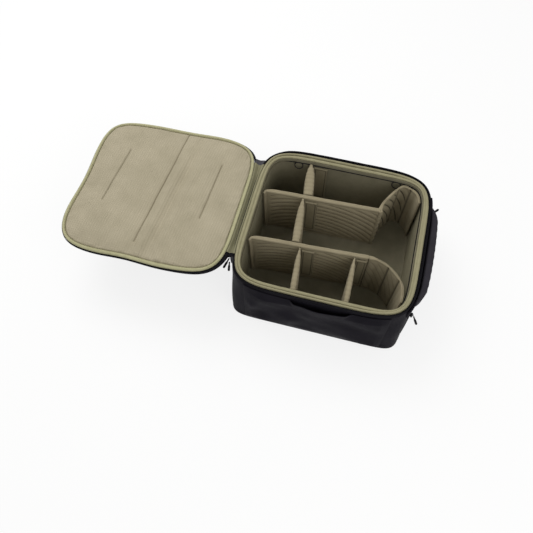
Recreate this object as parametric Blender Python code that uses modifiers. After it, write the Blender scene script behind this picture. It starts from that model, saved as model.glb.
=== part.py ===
"""Padded camera insert: a soft tub with a zipped lid, a side door and movable dividers.

Metres, +Z up. The origin is the centre of the underside. The lid's hinge is on the
-X side, the side door on the +X side, and the front pocket faces -Y.
"""

from math import hypot, pi, radians

import bmesh
import bpy
import numpy as np
from mathutils import Matrix, Vector

# Driving sizes of the tub
shell_half_x = 0.1545
shell_half_y = 0.1412
tub_height = 0.1425
rim_corner_radius = 0.055
base_corner_radius = 0.024
corner_reach = 0.286
seam_gap = 0.0003

# Layers of a wall, from the outside in
shell_thickness = 0.0015
foam_thickness = 0.012
lining_thickness = 0.0014

# Layers of the bottom
hem_height = 0.008
hem_thickness = 0.0015
board_thickness = 0.002
floor_foam_thickness = 0.008

# Rim
rim_body_height = 0.0052
rim_facing_height = 0.0036
rim_piping_width = 0.0045
zip_band_width = 0.0042
tape_thickness = 0.0014
coil_width = 0.002
coil_height = 0.0016

# Lid
hinge_outset = 0.0012
lid_droop = radians(1.5)
lid_inset_x = 0.0045
lid_inset_y = 0.0017
lid_binding_width = 0.0045
lid_binding_height = 0.0042
lid_foam_thickness = 0.005
lid_pad_thickness = 0.0030
lid_pad_crown = 0.0018
lid_shell_thickness = 0.0012

# Side door
door_far_margin = 0.0532
door_near_margin = 0.0412
door_sill = 0.001
door_top_drop = 0.0345
door_gap = 0.0005
side_tape_width = 0.009
side_tape_thickness = 0.0012

# Dividers
divider_thickness = 0.010
divider_top_drop = 0.009
divider_wall_gap = 0.0020
crease_gap = 0.0006

# Numbers of points
around_count = 72
path_steps = 4
edge_segments = 2
flat_share = 0.0005
near_digits = 4

rim_z = tub_height - rim_body_height
wall_top_z = rim_z - seam_gap
foam_inset = shell_thickness + seam_gap
lining_inset = foam_inset + foam_thickness + seam_gap
inside_inset = lining_inset + lining_thickness
board_z = hem_thickness + seam_gap
foam_z = board_z + board_thickness + seam_gap
floor_lining_z = foam_z + floor_foam_thickness + seam_gap
floor_z = floor_lining_z + lining_thickness
door_low_z = floor_z + door_sill
door_high_z = tub_height - door_top_drop
door_far_y = shell_half_y - door_far_margin
door_near_y = door_near_margin - shell_half_y
hinge_z = tub_height + seam_gap
hinge_offset_x = shell_half_x + hinge_outset
lid_half_x = shell_half_x - lid_inset_x
lid_half_y = shell_half_y - lid_inset_y
inside_half_x = shell_half_x - inside_inset
inside_half_y = shell_half_y - inside_inset

parts = bpy.data.collections.new("camera_bag_insert")
cutters = bpy.data.collections.new("cutters")


def clear_scene():
    """Removes what the new scene holds and links the two collections."""
    for thing in list(bpy.data.objects):
        bpy.data.objects.remove(thing, do_unlink=True)
    bpy.context.scene.collection.children.link(parts)
    bpy.context.scene.collection.children.link(cutters)


def material(name, colour, roughness, metallic=0.0):
    """One Principled material for one object."""
    made = bpy.data.materials.new(name)
    made.use_nodes = True
    shader = made.node_tree.nodes["Principled BSDF"]
    shader.inputs["Base Color"].default_value = (*colour, 1.0)
    shader.inputs["Roughness"].default_value = roughness
    shader.inputs["Metallic"].default_value = metallic
    return made


black_nylon = (0.013, 0.012, 0.014)
black_cord = (0.016, 0.016, 0.017)
grey_tape = (0.09, 0.09, 0.10)
foam_grey = (0.10, 0.10, 0.10)
olive_lining = (0.15, 0.145, 0.09)
olive_binding = (0.30, 0.30, 0.19)
beige_pad = (0.42, 0.38, 0.28)
dark_metal = (0.06, 0.06, 0.065)


def softness(z):
    """The tub's outer corner radius at height z: it grows from the base to the rim."""
    share = min(max(z / tub_height, 0.0), 1.0)
    return base_corner_radius + (rim_corner_radius - base_corner_radius) * share


def outline(half_x, half_y, corner, bearings):
    """Points of a superellipse at these bearings. A smaller corner radius is a squarer outline."""
    power = corner_reach / corner
    reach_x = np.abs(np.cos(bearings) / half_x) ** power
    reach_y = np.abs(np.sin(bearings) / half_y) ** power
    reach = (reach_x + reach_y) ** (-1 / power)
    return np.stack([reach * np.cos(bearings), reach * np.sin(bearings)], axis=1)


def corner_bearings(count):
    """Bearings all round the tub, closest together round its four corners."""
    turns = (np.arange(count) + 0.5) * 2 * pi / count
    power = 2 * rim_corner_radius / corner_reach
    x = shell_half_x * np.sign(np.cos(turns)) * np.abs(np.cos(turns)) ** power
    y = shell_half_y * np.sign(np.sin(turns)) * np.abs(np.sin(turns)) ** power
    return np.sort(np.arctan2(y, x))


all_bearings = corner_bearings(around_count)


lap_bearings = np.concatenate([all_bearings - 2 * pi, all_bearings, all_bearings + 2 * pi])


def between(start, end):
    """The bearings from start to end, counter-clockwise, with both ends."""
    inner = lap_bearings[(lap_bearings > start) & (lap_bearings < end)]
    return np.concatenate([[start], inner, [end]])


def facets(half_x, half_y, corner, bearings):
    """Points on the straight facets of the outline, so that part of a ring nests in a whole one."""
    flat = np.tile(outline(half_x, half_y, corner, all_bearings), (3, 1))
    x = np.interp(bearings, lap_bearings, flat[:, 0])
    y = np.interp(bearings, lap_bearings, flat[:, 1])
    return np.stack([x, y], axis=1)


def tub_ring(inset, z, bearings):
    """The tub's outline at height z, moved in from the outer shell by inset."""
    flat = facets(shell_half_x - inset, shell_half_y - inset, softness(z) - inset, bearings)
    return np.column_stack([flat, np.full(len(flat), z)])


def lid_ring(inset, z, bearings):
    """The lid's outline at height z over the hinge plane, in the lid's own frame."""
    flat = facets(lid_half_x - inset, lid_half_y - inset, rim_corner_radius - inset, bearings)
    flat[:, 0] -= hinge_offset_x
    return np.column_stack([flat, np.full(len(flat), z)])


def finish(name, mesh, made, parent=None, smooth=True):
    """Puts a mesh into the parts collection as a named object."""
    thing = bpy.data.objects.new(name, mesh)
    mesh.materials.append(made)
    if smooth:
        mesh.shade_smooth()
        mesh.set_sharp_from_angle(angle=radians(35))
    parts.objects.link(thing)
    if parent is not None:
        thing.parent = parent
    return thing


def skin_face(work, ring):
    """One face of a grid. A twisted one is split from its lowest corner, alike in every layer."""
    keys = [tuple(round(value, near_digits) for value in corner.co.zxy) for corner in ring]
    turn = keys.index(min(keys))
    ring = ring[turn:] + ring[:turn]
    first, second, third = [corner.co - ring[0].co for corner in ring[1:]]
    volume = abs(first.cross(second).dot(third))
    if volume > flat_share * first.cross(third).length * second.length:
        work.faces.new(ring[:3])
        work.faces.new((ring[0], ring[2], ring[3]))
    else:
        work.faces.new(ring)


def grid_mesh(name, grid, wrap_rows, wrap_columns):
    """A closed body from a grid of points: rows and columns either wrap round or end in a flat cap."""
    rows, columns = len(grid), len(grid[0])
    work = bmesh.new()
    corners = [[work.verts.new(point) for point in row] for row in grid]
    for i in range(rows if wrap_rows else rows - 1):
        for j in range(columns if wrap_columns else columns - 1):
            low, high = corners[i], corners[(i + 1) % rows]
            after = (j + 1) % columns
            skin_face(work, [low[j], low[after], high[after], high[j]])
    if not wrap_rows:
        work.faces.new(corners[0])
        work.faces.new(corners[-1])
    if not wrap_columns:
        work.faces.new([row[0] for row in corners])
        work.faces.new([row[-1] for row in corners])
    bmesh.ops.recalc_face_normals(work, faces=work.faces)
    mesh = bpy.data.meshes.new(name)
    work.to_mesh(mesh)
    work.free()
    return mesh


def box(name, low, high, made, parent=None, bevel=0.0):
    """A block between two corners, with rounded edges where it has a bevel."""
    work = bmesh.new()
    bmesh.ops.create_cube(work, size=1.0)
    low, high = Vector(low), Vector(high)
    middle = (low + high) / 2
    stretch = Matrix.Diagonal((*(high - low), 1.0))
    bmesh.ops.transform(work, matrix=Matrix.Translation(middle) @ stretch, verts=work.verts)
    mesh = bpy.data.meshes.new(name)
    work.to_mesh(mesh)
    work.free()
    thing = finish(name, mesh, made, parent)
    if bevel:
        add_bevel(thing, bevel)
    return thing


def add_bevel(thing, width):
    """Rounds the edges of a body."""
    rounding = thing.modifiers.new("rounding", "BEVEL")
    rounding.width = width
    rounding.segments = edge_segments
    rounding.limit_method = "ANGLE"
    rounding.angle_limit = radians(40)


def cutter(name, low, high):
    """A box that only cuts other pieces."""
    thing = box(name, low, high, material(name, foam_grey, 1.0))
    parts.objects.unlink(thing)
    cutters.objects.link(thing)
    thing.hide_render = True
    thing.display_type = "WIRE"
    return thing


def trim(thing, tool, operation):
    """Cuts a piece with a cutter, or keeps only what lies inside it."""
    cut = thing.modifiers.new(tool.name, "BOOLEAN")
    cut.operation = operation
    cut.object = tool


def hinge_empty(name, place, turn=(0.0, 0.0, 0.0)):
    """An empty on a joint's axis, which carries the pieces that move there."""
    empty = bpy.data.objects.new(name, None)
    empty.location = place
    empty.rotation_euler = turn
    parts.objects.link(empty)
    return empty


def carry(thing, empty):
    """Parents a thing made in world places to an empty, without moving it."""
    thing.parent = empty
    thing.matrix_parent_inverse = empty.matrix_basis.inverted()


def tub_body(name, profile, made, bearings=None):
    """A layer of the tub: a closed profile of insets and heights carried round the outline."""
    closed = bearings is None
    route = all_bearings if closed else bearings
    grid = [tub_ring(inset, z, route) for inset, z in profile]
    return finish(name, grid_mesh(name, grid, True, closed), made)


def levels_between(low, high):
    """Heights of a layer's rings. All layers share those inside it, so that they nest."""
    return [low, *[z for z in shared_levels if low < z < high], high]


def wall_profile(outer, inner, low, high):
    """An upright layer of even thickness."""
    levels = levels_between(low, high)
    return [(outer, z) for z in levels] + [(inner, z) for z in levels[::-1]]


level_count = 6
shared_levels = [floor_lining_z]
shared_levels += list(np.linspace(floor_z + floor_foam_thickness, wall_top_z, level_count))
clear_scene()

# Tub: outer shell and bottom
hem_edge_inset = 0.003
hem_edge_height = 0.0022


def bottom_hem():
    """The reinforced bottom: a low tray of coated nylon that the shell is sewn to."""
    profile = [
        (hem_edge_inset, 0.0),
        (0.0, hem_edge_height),
        (0.0, hem_height),
        (hem_thickness, hem_height),
        (hem_thickness, hem_edge_height + hem_thickness),
        (hem_thickness + hem_edge_inset, hem_thickness),
    ]
    grid = [tub_ring(inset, z, all_bearings) for inset, z in profile]
    made = material("coated_nylon_hem", black_nylon, 0.6)
    finish("bottom_hem", grid_mesh("bottom_hem", grid, False, True), made)


bottom_hem()


def flat_board(name, inset, low, high, made):
    """A board that fills the outline at one inset."""
    grid = [tub_ring(inset, low, all_bearings), tub_ring(inset, high, all_bearings)]
    return finish(name, grid_mesh(name, grid, False, True), made)


board_inset = hem_thickness + hem_edge_inset + seam_gap
flat_board(
    "stiffener_board", board_inset, board_z, board_z + board_thickness,
    material("stiffener_plastic", foam_grey, 0.5),
)
flat_board(
    "floor_foam", lining_inset, foam_z, foam_z + floor_foam_thickness,
    material("floor_foam", foam_grey, 0.9),
)

# The box that the side door is cut with, and a smaller one that keeps the door itself. The
# door's top stays lower by what its inner edge rises as it swings out
cut_reach = 0.1
door_swing_height = door_high_z - door_gap - door_low_z
door_swing_rise = hypot(door_swing_height, inside_inset + seam_gap) - door_swing_height
door_inner_x = shell_half_x - inside_inset - cut_reach / 2
door_outer_x = shell_half_x + cut_reach
door_hole = cutter(
    "door_hole", (door_inner_x, door_near_y, door_low_z), (door_outer_x, door_far_y, door_high_z)
)
door_keep = cutter(
    "door_keep",
    (door_inner_x, door_near_y + door_gap, door_low_z + door_gap),
    (door_outer_x, door_far_y - door_gap, door_high_z - door_gap - door_swing_rise),
)
door_bearings = between(-pi / 4, pi / 4)

shell_profile = wall_profile(0.0, shell_thickness, hem_height + seam_gap, wall_top_z)
shell = tub_body("outer_shell", shell_profile, material("nylon_shell", black_nylon, 0.55))
trim(shell, door_hole, "DIFFERENCE")

# Foam boards in the walls, mitred where they meet in the corners
mitre_turn = seam_gap / shell_half_y
corner_bearing = np.arctan2(shell_half_y, shell_half_x)
foam_inner = foam_inset + foam_thickness
foam_profile = wall_profile(foam_inset, foam_inner, foam_z, wall_top_z)
foam_sides = {
    "foam_right": (-corner_bearing, corner_bearing),
    "foam_far": (corner_bearing, pi - corner_bearing),
    "foam_left": (pi - corner_bearing, pi + corner_bearing),
    "foam_near": (pi + corner_bearing, 2 * pi - corner_bearing),
}
for name, (start, end) in foam_sides.items():
    board = tub_body(
        name, foam_profile, material(name, foam_grey, 0.9),
        between(start + mitre_turn, end - mitre_turn),
    )
    if name == "foam_right":
        trim(board, door_hole, "DIFFERENCE")


def lining_tray():
    """The sewn lining: floor and walls in one, open where the side door is."""
    profile = [(lining_inset, z) for z in levels_between(floor_lining_z, wall_top_z)]
    profile += [(inside_inset, z) for z in levels_between(floor_z, wall_top_z)[::-1]]
    grid = [tub_ring(inset, z, all_bearings) for inset, z in profile]
    made = material("brushed_lining", olive_lining, 0.95)
    tray = finish("lining", grid_mesh("lining", grid, False, True), made)
    trim(tray, door_hole, "DIFFERENCE")


lining_tray()


# Rim: two olive ridges and the black zip band outside them
def ridge_profile(outer, inner, low, high):
    """A low rounded ridge: flat below and arched above."""
    turns = np.linspace(0.0, pi, ridge_points)
    middle = (outer + inner) / 2
    half = (inner - outer) / 2
    waist = low + (high - low) * ridge_waist_share
    arch = [(middle - half * np.cos(t), waist + (high - waist) * np.sin(t)) for t in turns]
    return [(outer, low)] + arch + [(inner, low)]


ridge_points = 6
ridge_waist_share = 0.35
piping_outer = zip_band_width + seam_gap
piping_inner = piping_outer + rim_piping_width
facing_outer = piping_inner + seam_gap
piping_profile = ridge_profile(piping_outer, piping_inner, rim_z, tub_height)
facing_profile = ridge_profile(facing_outer, inside_inset, rim_z, rim_z + rim_facing_height)
tub_body("rim_piping", piping_profile, material("rim_piping", olive_binding, 0.85))
tub_body("rim_facing", facing_profile, material("rim_facing", olive_binding, 0.9))

# The zip runs round the far, right and near sides and ends on the hinge side
zip_far_margin = 0.0432
zip_near_margin = 0.0532
zip_end_far_y = shell_half_y - zip_far_margin
zip_end_near_y = zip_near_margin - shell_half_y


def bearing_on_left(y, inset):
    """Bearing of the point of the left side that lies at y."""
    half_x, half_y = shell_half_x - inset, shell_half_y - inset
    power = corner_reach / (rim_corner_radius - inset)
    x = half_x * (1 - abs(y / half_y) ** power) ** (1 / power)
    return np.arctan2(y, -x)


zip_start = bearing_on_left(zip_end_near_y, 0.0)
zip_stop = bearing_on_left(zip_end_far_y, 0.0)
zip_bearings = between(zip_start, zip_stop)
tape_top = rim_z + tape_thickness
tape_profile = [
    (0.0, rim_z),
    (0.0, tape_top),
    (zip_band_width, tape_top),
    (zip_band_width, rim_z),
]
tub_body("tub_zip_tape", tape_profile, material("zip_tape", black_cord, 0.8), zip_bearings)
coil_low = tape_top + seam_gap
coil_profile = ridge_profile(seam_gap, coil_width, coil_low, coil_low + coil_height)
tub_body("tub_zip_coil", coil_profile, material("zip_coil", black_cord, 0.4), zip_bearings)

# Thin cord line sewn round the inside, under the rim
cord_line_drop = 0.014
cord_line_z = tub_height - cord_line_drop
cord_line_width = 0.0016
cord_line_depth = 0.0008
line_outer = inside_inset + seam_gap
line_profile = [
    (line_outer, cord_line_z),
    (line_outer, cord_line_z + cord_line_width),
    (line_outer + cord_line_depth, cord_line_z + cord_line_width),
    (line_outer + cord_line_depth, cord_line_z),
]
tub_body("lining_cord_line", line_profile, material("lining_cord", black_cord, 0.7))


def tube(name, points, radius, made, cyclic=False, taper=None, parent=None):
    """A round cord along points, closed in a ring or with filled ends."""
    data = bpy.data.curves.new(name, "CURVE")
    data.dimensions = "3D"
    data.bevel_depth = radius
    data.bevel_resolution = 1
    data.use_fill_caps = not cyclic
    spline = data.splines.new("POLY")
    spline.points.add(len(points) - 1)
    for index, place in enumerate(points):
        spline.points[index].co = (*place, 1.0)
        if taper is not None:
            spline.points[index].radius = taper[index]
    spline.use_cyclic_u = cyclic
    data.materials.append(made)
    thing = bpy.data.objects.new(name, data)
    parts.objects.link(thing)
    if parent is not None:
        thing.parent = parent
    return thing


# Cord loops that hang from the cord line on the far wall
loop_radius = 0.0075
loop_cord_radius = 0.0008
loop_points = 14
loop_opening = radians(70)
loop_place_shares = {"cord_loop_left": -0.64, "cord_loop_right": 0.626}


def wall_y(x, z):
    """Inner face of the far wall at x and z."""
    power = corner_reach / (softness(z) - inside_inset)
    return inside_half_y * (1 - abs(x / inside_half_x) ** power) ** (1 / power)


for name, share in loop_place_shares.items():
    loop_x = inside_half_x * share
    centre_z = cord_line_z - loop_radius - loop_cord_radius - seam_gap
    turns = np.linspace(pi / 2 + loop_opening / 2, 5 * pi / 2 - loop_opening / 2, loop_points)
    xs = loop_x + loop_radius * np.cos(turns)
    zs = centre_z + loop_radius * np.sin(turns)
    off = loop_cord_radius + 2 * seam_gap
    ys = [wall_y(x, z) - off for x, z in zip(xs, zs)]
    tube(name, list(zip(xs, ys, zs)), loop_cord_radius, material(name, black_cord, 0.7))

# Front pocket: one panel of nylon over the near wall, slack along its top edge
pocket_side_margin = 0.0325
pocket_half_width = shell_half_x - pocket_side_margin
pocket_hem_gap = 0.002
pocket_low_z = hem_height + pocket_hem_gap
pocket_top_drop = 0.009
pocket_high_z = tub_height - pocket_top_drop
pocket_thickness = 0.0012
slit_half_width = 0.051
slit_centre_x = 0.008
slit_bulge = 0.0095
slit_drop = 0.010
slit_depth = 0.075
pocket_columns = 28
pocket_levels = 7


def slack(x, z):
    """How far the pocket's cloth stands off the wall: most at the middle of the slit."""
    across = max(0.0, 1 - ((x - slit_centre_x) / slit_half_width) ** 2)
    down = max(0.0, 1 - (pocket_high_z - z) / slit_depth)
    return slit_bulge * across * down ** 2


def pocket_panel():
    """A sheet that follows the near wall and sags away from it under the zip band."""
    xs = np.linspace(-pocket_half_width, pocket_half_width, pocket_columns)
    outer, inner = [], []
    for share in np.linspace(0.0, 1.0, pocket_levels):
        near, far = [], []
        for x in xs:
            dip = slit_drop * slack(x, pocket_high_z) / slit_bulge
            z = pocket_low_z + (pocket_high_z - dip - pocket_low_z) * share
            power = corner_reach / softness(z)
            curve = (1 - abs(x / shell_half_x) ** power) ** (1 / power)
            wall = -shell_half_y * curve - seam_gap - slack(x, z)
            far.append((x, wall, z))
            near.append((x, wall - pocket_thickness, z))
        outer.append(near)
        inner.append(far)
    grid = outer + inner[::-1]
    made = material("pocket_nylon", black_nylon, 0.55)
    finish("front_pocket", grid_mesh("front_pocket", grid, True, False), made)


pocket_panel()

# Side door: the right wall between its two zip legs, hinged along its bottom edge
door_axis = hinge_empty("side_door_axis", (shell_half_x + seam_gap, 0.0, door_low_z))


def door_layer(name, outer, inner, made):
    """One layer of the door, cut from the same wall as the layer around it."""
    profile = wall_profile(outer, inner, foam_z, wall_top_z)
    layer = tub_body(name, profile, made, door_bearings)
    trim(layer, door_keep, "INTERSECT")
    carry(layer, door_axis)
    return layer


door_layer("side_door_shell", 0.0, shell_thickness, material("door_nylon", black_nylon, 0.55))
door_layer("side_door_foam", foam_inset, foam_inner, material("door_foam", foam_grey, 0.9))
door_layer(
    "side_door_lining", lining_inset, inside_inset, material("door_lining", olive_lining, 0.95)
)

# Zip tapes of the door: one half on the wall round the opening, one half on the door
tape_outer = -(seam_gap + side_tape_thickness)
frame_low = (door_inner_x, door_near_y - side_tape_width, door_low_z)
frame_high = (door_outer_x, door_far_y + side_tape_width, door_high_z + side_tape_width)
frame_keep = cutter("frame_keep", frame_low, frame_high)
door_tape_inner = cutter(
    "door_tape_inner",
    (door_inner_x, door_near_y + side_tape_width, door_low_z - side_tape_width),
    (door_outer_x, door_far_y - side_tape_width, door_high_z - side_tape_width),
)
opening_cut = cutter(
    "opening_cut",
    (door_inner_x, door_near_y - door_gap, door_low_z - side_tape_width),
    (door_outer_x, door_far_y + door_gap, door_high_z + door_gap),
)
side_profile = wall_profile(tape_outer, -seam_gap, hem_height + seam_gap, wall_top_z)
frame_tape = tub_body(
    "side_zip_frame", side_profile, material("side_zip_tape", black_cord, 0.8), door_bearings
)
trim(frame_tape, frame_keep, "INTERSECT")
trim(frame_tape, opening_cut, "DIFFERENCE")
door_tape = door_layer(
    "side_door_zip_tape", tape_outer, -seam_gap, material("door_zip_tape", black_cord, 0.8)
)
trim(door_tape, door_tape_inner, "DIFFERENCE")

# Coil of the side zip, on the edge of the frame tape
side_coil_width = 0.0022
side_coil_height = 0.0013
coil_inner = tape_outer - seam_gap
coil_outer = coil_inner - side_coil_height
coil_keep = cutter(
    "coil_keep",
    (door_inner_x, door_near_y - door_gap - side_coil_width, door_low_z),
    (
        door_outer_x,
        door_far_y + door_gap + side_coil_width,
        door_high_z + door_gap + side_coil_width,
    ),
)
coil_profile = wall_profile(coil_outer, coil_inner, hem_height + seam_gap, wall_top_z)
side_coil = tub_body(
    "side_zip_coil", coil_profile, material("side_zip_coil", black_cord, 0.4), door_bearings
)
trim(side_coil, coil_keep, "INTERSECT")
trim(side_coil, opening_cut, "DIFFERENCE")

# Fabric strip that hinges the door along its bottom edge
strip_thickness = 0.0008
strip_height = 0.006
strip_high_z = door_low_z + strip_height
strip_keep = cutter(
    "strip_keep",
    (door_inner_x, door_near_y + side_tape_width + door_gap, 0.0),
    (door_outer_x, door_far_y - side_tape_width - door_gap, strip_high_z),
)
strip_profile = wall_profile(
    -(seam_gap + strip_thickness), -seam_gap, hem_height + seam_gap, wall_top_z
)
hinge_strip = tub_body(
    "side_door_hinge_strip", strip_profile, material("hinge_strip", black_nylon, 0.6),
    door_bearings,
)
trim(hinge_strip, strip_keep, "INTERSECT")


def wall_x(y, z, inset=0.0):
    """The right wall at y and z, moved in by inset."""
    power = corner_reach / (softness(z) - inset)
    return (shell_half_x - inset) * (1 - abs(y / (shell_half_y - inset)) ** power) ** (1 / power)


# Side zip sliders: each runs down its leg, with a cord pull on it
slider_length = 0.010
slider_width = 0.0065
slider_height = 0.0036
slider_bevel = 0.0012
slider_travel = 0.072
slider_park_drop = 0.010
slider_top_z = door_high_z - slider_park_drop
slider_clear = 0.0005
slider_samples = 9
pull_radius = 0.0011
pull_knob_radius = 0.0019
pull_clear = 0.0005
far_pull_length = 0.019
near_pull_length = 0.021


def cord_pull(name, start, along, length, carrier):
    """A short cord pull that thickens into a moulded end."""
    along = Vector(along).normalized()
    place_shares = (0.0, 0.35, 0.62, 0.70, 0.92, 1.0)
    slim = pull_radius / pull_knob_radius
    taper = (slim, slim, slim, 1.0, 1.0, slim)
    points = [Vector(start) + along * length * share for share in place_shares]
    pull = tube(name, points, pull_knob_radius, material(name, black_cord, 0.6), taper=taper)
    carry(pull, carrier)


def side_slider(side, leg_y, pull_along, pull_length):
    """A slider just outside the door's edge, tilted with the wall that it runs down."""
    stand_off = seam_gap + side_tape_thickness + seam_gap + side_coil_height + slider_clear
    drops = np.linspace(-slider_length, slider_travel + slider_length, slider_samples)
    wall = np.array([wall_x(leg_y, slider_top_z - drop) for drop in drops])
    slope = (wall[-1] - wall[0]) / (drops[-1] - drops[0])
    lean = np.arctan(slope)
    crest = np.max(wall - slope * drops)
    middle_x = crest + stand_off + slider_height / 2
    runner = hinge_empty(f"side_slider_{side}_axis", (middle_x, leg_y, slider_top_z))
    half = Vector((slider_height, slider_width, slider_length)) / 2
    made = material(f"side_zip_slider_{side}", dark_metal, 0.35, 0.6)
    body = box(f"side_zip_slider_{side}", -half, half, made, runner, slider_bevel)
    body.rotation_euler = (0.0, -lean, 0.0)
    pin = Vector((middle_x + slider_height / 2, leg_y, slider_top_z))
    swing = hinge_empty(f"side_pull_{side}_axis", pin)
    carry(swing, runner)
    start = pin + Vector(pull_along).normalized() * (pull_knob_radius + 2 * pull_clear)
    cord_pull(f"side_zip_pull_{side}", start, pull_along, pull_length, swing)


side_slider("far", door_far_y + side_tape_width / 2, (0.42, 0.10, 0.90), far_pull_length)
side_slider("near", door_near_y - side_tape_width / 2, (0.45, -0.25, -0.86), near_pull_length)

# Grab handle on the right side: a padded strip with three ribs, standing off the wall
handle_far_inset = 0.005
handle_near_inset = 0.003
handle_far_y = door_far_y - handle_far_inset
handle_near_y = door_near_y + handle_near_inset
handle_clear = 0.001
handle_low_z = door_high_z + door_gap + side_coil_width + handle_clear
handle_high_z = wall_top_z - handle_clear
handle_thickness = 0.0080
handle_rib = 0.0012
handle_bulge = 0.0055
handle_rib_count = 3
handle_columns = 18
end_patch_length = 0.020
end_patch_thickness = 0.0012


def handle_path():
    """Plan points of the handle's inner face: flat on the wall at its ends, bowed between."""
    ys = np.linspace(handle_far_y, handle_near_y, handle_columns)
    span = (ys - handle_near_y) / (handle_far_y - handle_near_y)
    bow = handle_bulge * np.sin(pi * span) ** 0.6
    clear = side_tape_thickness + 2 * seam_gap
    wall = np.array([wall_x(y, handle_low_z) for y in ys])
    return np.column_stack([wall + clear + bow, ys])


def grab_handle():
    """The strip: its outer face has ribs that run along it."""
    heights = np.linspace(handle_low_z, handle_high_z, 4 * handle_rib_count + 1)
    shares = np.linspace(0.0, handle_rib_count, len(heights))
    swell = handle_thickness + handle_rib * np.abs(np.sin(pi * shares))
    edge = handle_thickness / 2
    rows = []
    for x, y in handle_path():
        outer = [(x + depth, y, z) for depth, z in zip(swell, heights)]
        outer[0] = (x + edge, y, handle_low_z)
        outer[-1] = (x + edge, y, handle_high_z)
        inner = [(x, y, handle_high_z - edge / 2), (x, y, handle_low_z + edge / 2)]
        rows.append(outer + inner)
    made = material("handle_padding", black_nylon, 0.6)
    finish("grab_handle", grid_mesh("grab_handle", rows, False, True), made)


grab_handle()


def handle_end(name, start_y, end_y):
    """The sewn patch over one end of the handle."""
    ys = np.linspace(start_y, end_y, path_steps)
    middle_z = (handle_low_z + handle_high_z) / 2
    half = (handle_high_z - handle_low_z) / 2
    rows = []
    for y in ys:
        x = wall_x(y, handle_low_z) + side_tape_thickness + 2 * seam_gap
        rows.append([
            (x, y, middle_z - half),
            (x + end_patch_thickness, y, middle_z - half),
            (x + end_patch_thickness, y, middle_z + half),
            (x, y, middle_z + half),
        ])
    made = material(name, black_nylon, 0.6)
    finish(name, grid_mesh(name, rows, False, True), made)


handle_end("handle_end_far", handle_far_y + seam_gap, handle_far_y + end_patch_length)
handle_end("handle_end_near", handle_near_y - seam_gap, handle_near_y - end_patch_length)

# Lid: everything here is made in the lid's own frame, with its origin on the hinge line
lid_axis = hinge_empty("lid_axis", (-hinge_offset_x, 0.0, hinge_z), (0.0, -lid_droop, 0.0))
lid_edge_rise = 0.0022
lid_pad_edge_inset = 0.014
lid_side_drop = 0.0030
lid_bottom_inset = 0.009
binding_low = -seam_gap - lid_binding_height


def lid_body(name, profile, made, wrap=True, bearings=None):
    """A ring of the lid where it wraps, or a board with a flat cap at each end."""
    closed = bearings is None
    route = all_bearings if closed else bearings
    grid = [lid_ring(inset, z, route) for inset, z in profile]
    return finish(name, grid_mesh(name, grid, wrap, closed), made, lid_axis)


binding_profile = ridge_profile(0.0, lid_binding_width, binding_low, -seam_gap)
lid_body("lid_piping", binding_profile, material("lid_piping", olive_binding, 0.85))

pad_outer = lid_binding_width + seam_gap
pad_low = binding_low
pad_edge_share = 0.6
pad_crown_inset = 0.042
pad_edge = pad_low + lid_pad_thickness * pad_edge_share
pad_profile = [
    (pad_outer, pad_low),
    (pad_outer, pad_edge),
    (lid_pad_edge_inset, pad_low + lid_pad_thickness),
    (pad_crown_inset, pad_low + lid_pad_thickness + lid_pad_crown),
]
pad_made = material("lid_lining", beige_pad, 0.95)
lid_body("lid_lining", pad_profile, pad_made, wrap=False)

lid_foam_top = pad_low - seam_gap
lid_foam_low = lid_foam_top - lid_foam_thickness
foam_profile = [(pad_outer, lid_foam_low), (pad_outer, lid_foam_top)]
lid_body("lid_foam", foam_profile, material("lid_foam", foam_grey, 0.9), wrap=False)

lid_shell_top = -lid_binding_height - 2 * seam_gap
lid_shell_low = lid_foam_low - seam_gap - lid_shell_thickness
lid_shell_outset = 0.0005
shell_wall_inset = pad_outer - seam_gap
shell_profile = [
    (lid_bottom_inset, lid_shell_low),
    (-lid_shell_outset, lid_shell_top - lid_side_drop),
    (-lid_shell_outset, lid_shell_top),
    (shell_wall_inset, lid_shell_top),
    (shell_wall_inset, lid_foam_low - seam_gap),
]
lid_body("lid_shell", shell_profile, material("lid_nylon", black_nylon, 0.55), wrap=False)

# The lid's half of the zip, on three sides
lid_tape_inner = -(lid_shell_outset + seam_gap)
lid_tape_outer = lid_tape_inner - tape_thickness
lid_tape_profile = [
    (lid_tape_inner, lid_shell_top - lid_side_drop),
    (lid_tape_inner, lid_shell_top),
    (lid_tape_outer, lid_shell_top),
    (lid_tape_outer, lid_shell_top - lid_side_drop),
]
lid_zip_bearings = between(pi - zip_stop, pi - zip_start)
lid_tape_made = material("lid_zip_tape", black_cord, 0.8)
lid_body("lid_zip_tape", lid_tape_profile, lid_tape_made, True, lid_zip_bearings)

# Hinge gusset between the rim and the lid, with a fold that hangs in the gap between them
gusset_rows = 14
gusset_thickness = 0.0008
gusset_rise = 0.0028
gusset_edge_z = rim_z + gusset_rise
gusset_fold_depth = 0.0050
fold_clear = 0.0006
fold_lip = 0.0008
fold_place_shares = (0.0, 0.28, 0.5, 0.72, 1.0)
fold_drop_shares = (0.0, 0.75, 1.0, 0.75, 0.0)
tab_thickness = 0.0010
far_tab_length = 0.011
near_tab_length = 0.005
tab_drop = 0.0012
tab_edge_z = rim_z - tab_drop
tab_fold_depth = 0.0022


def lid_edge_x(y, outset):
    """The lid's edge on its hinge side at y, in the world at rest."""
    power = corner_reach / (rim_corner_radius + outset)
    reach = (lid_half_x + outset) * (1 - abs(y / (lid_half_y + outset)) ** power) ** (1 / power)
    return -hinge_offset_x + (reach - hinge_offset_x) * np.cos(lid_droop)


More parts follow.
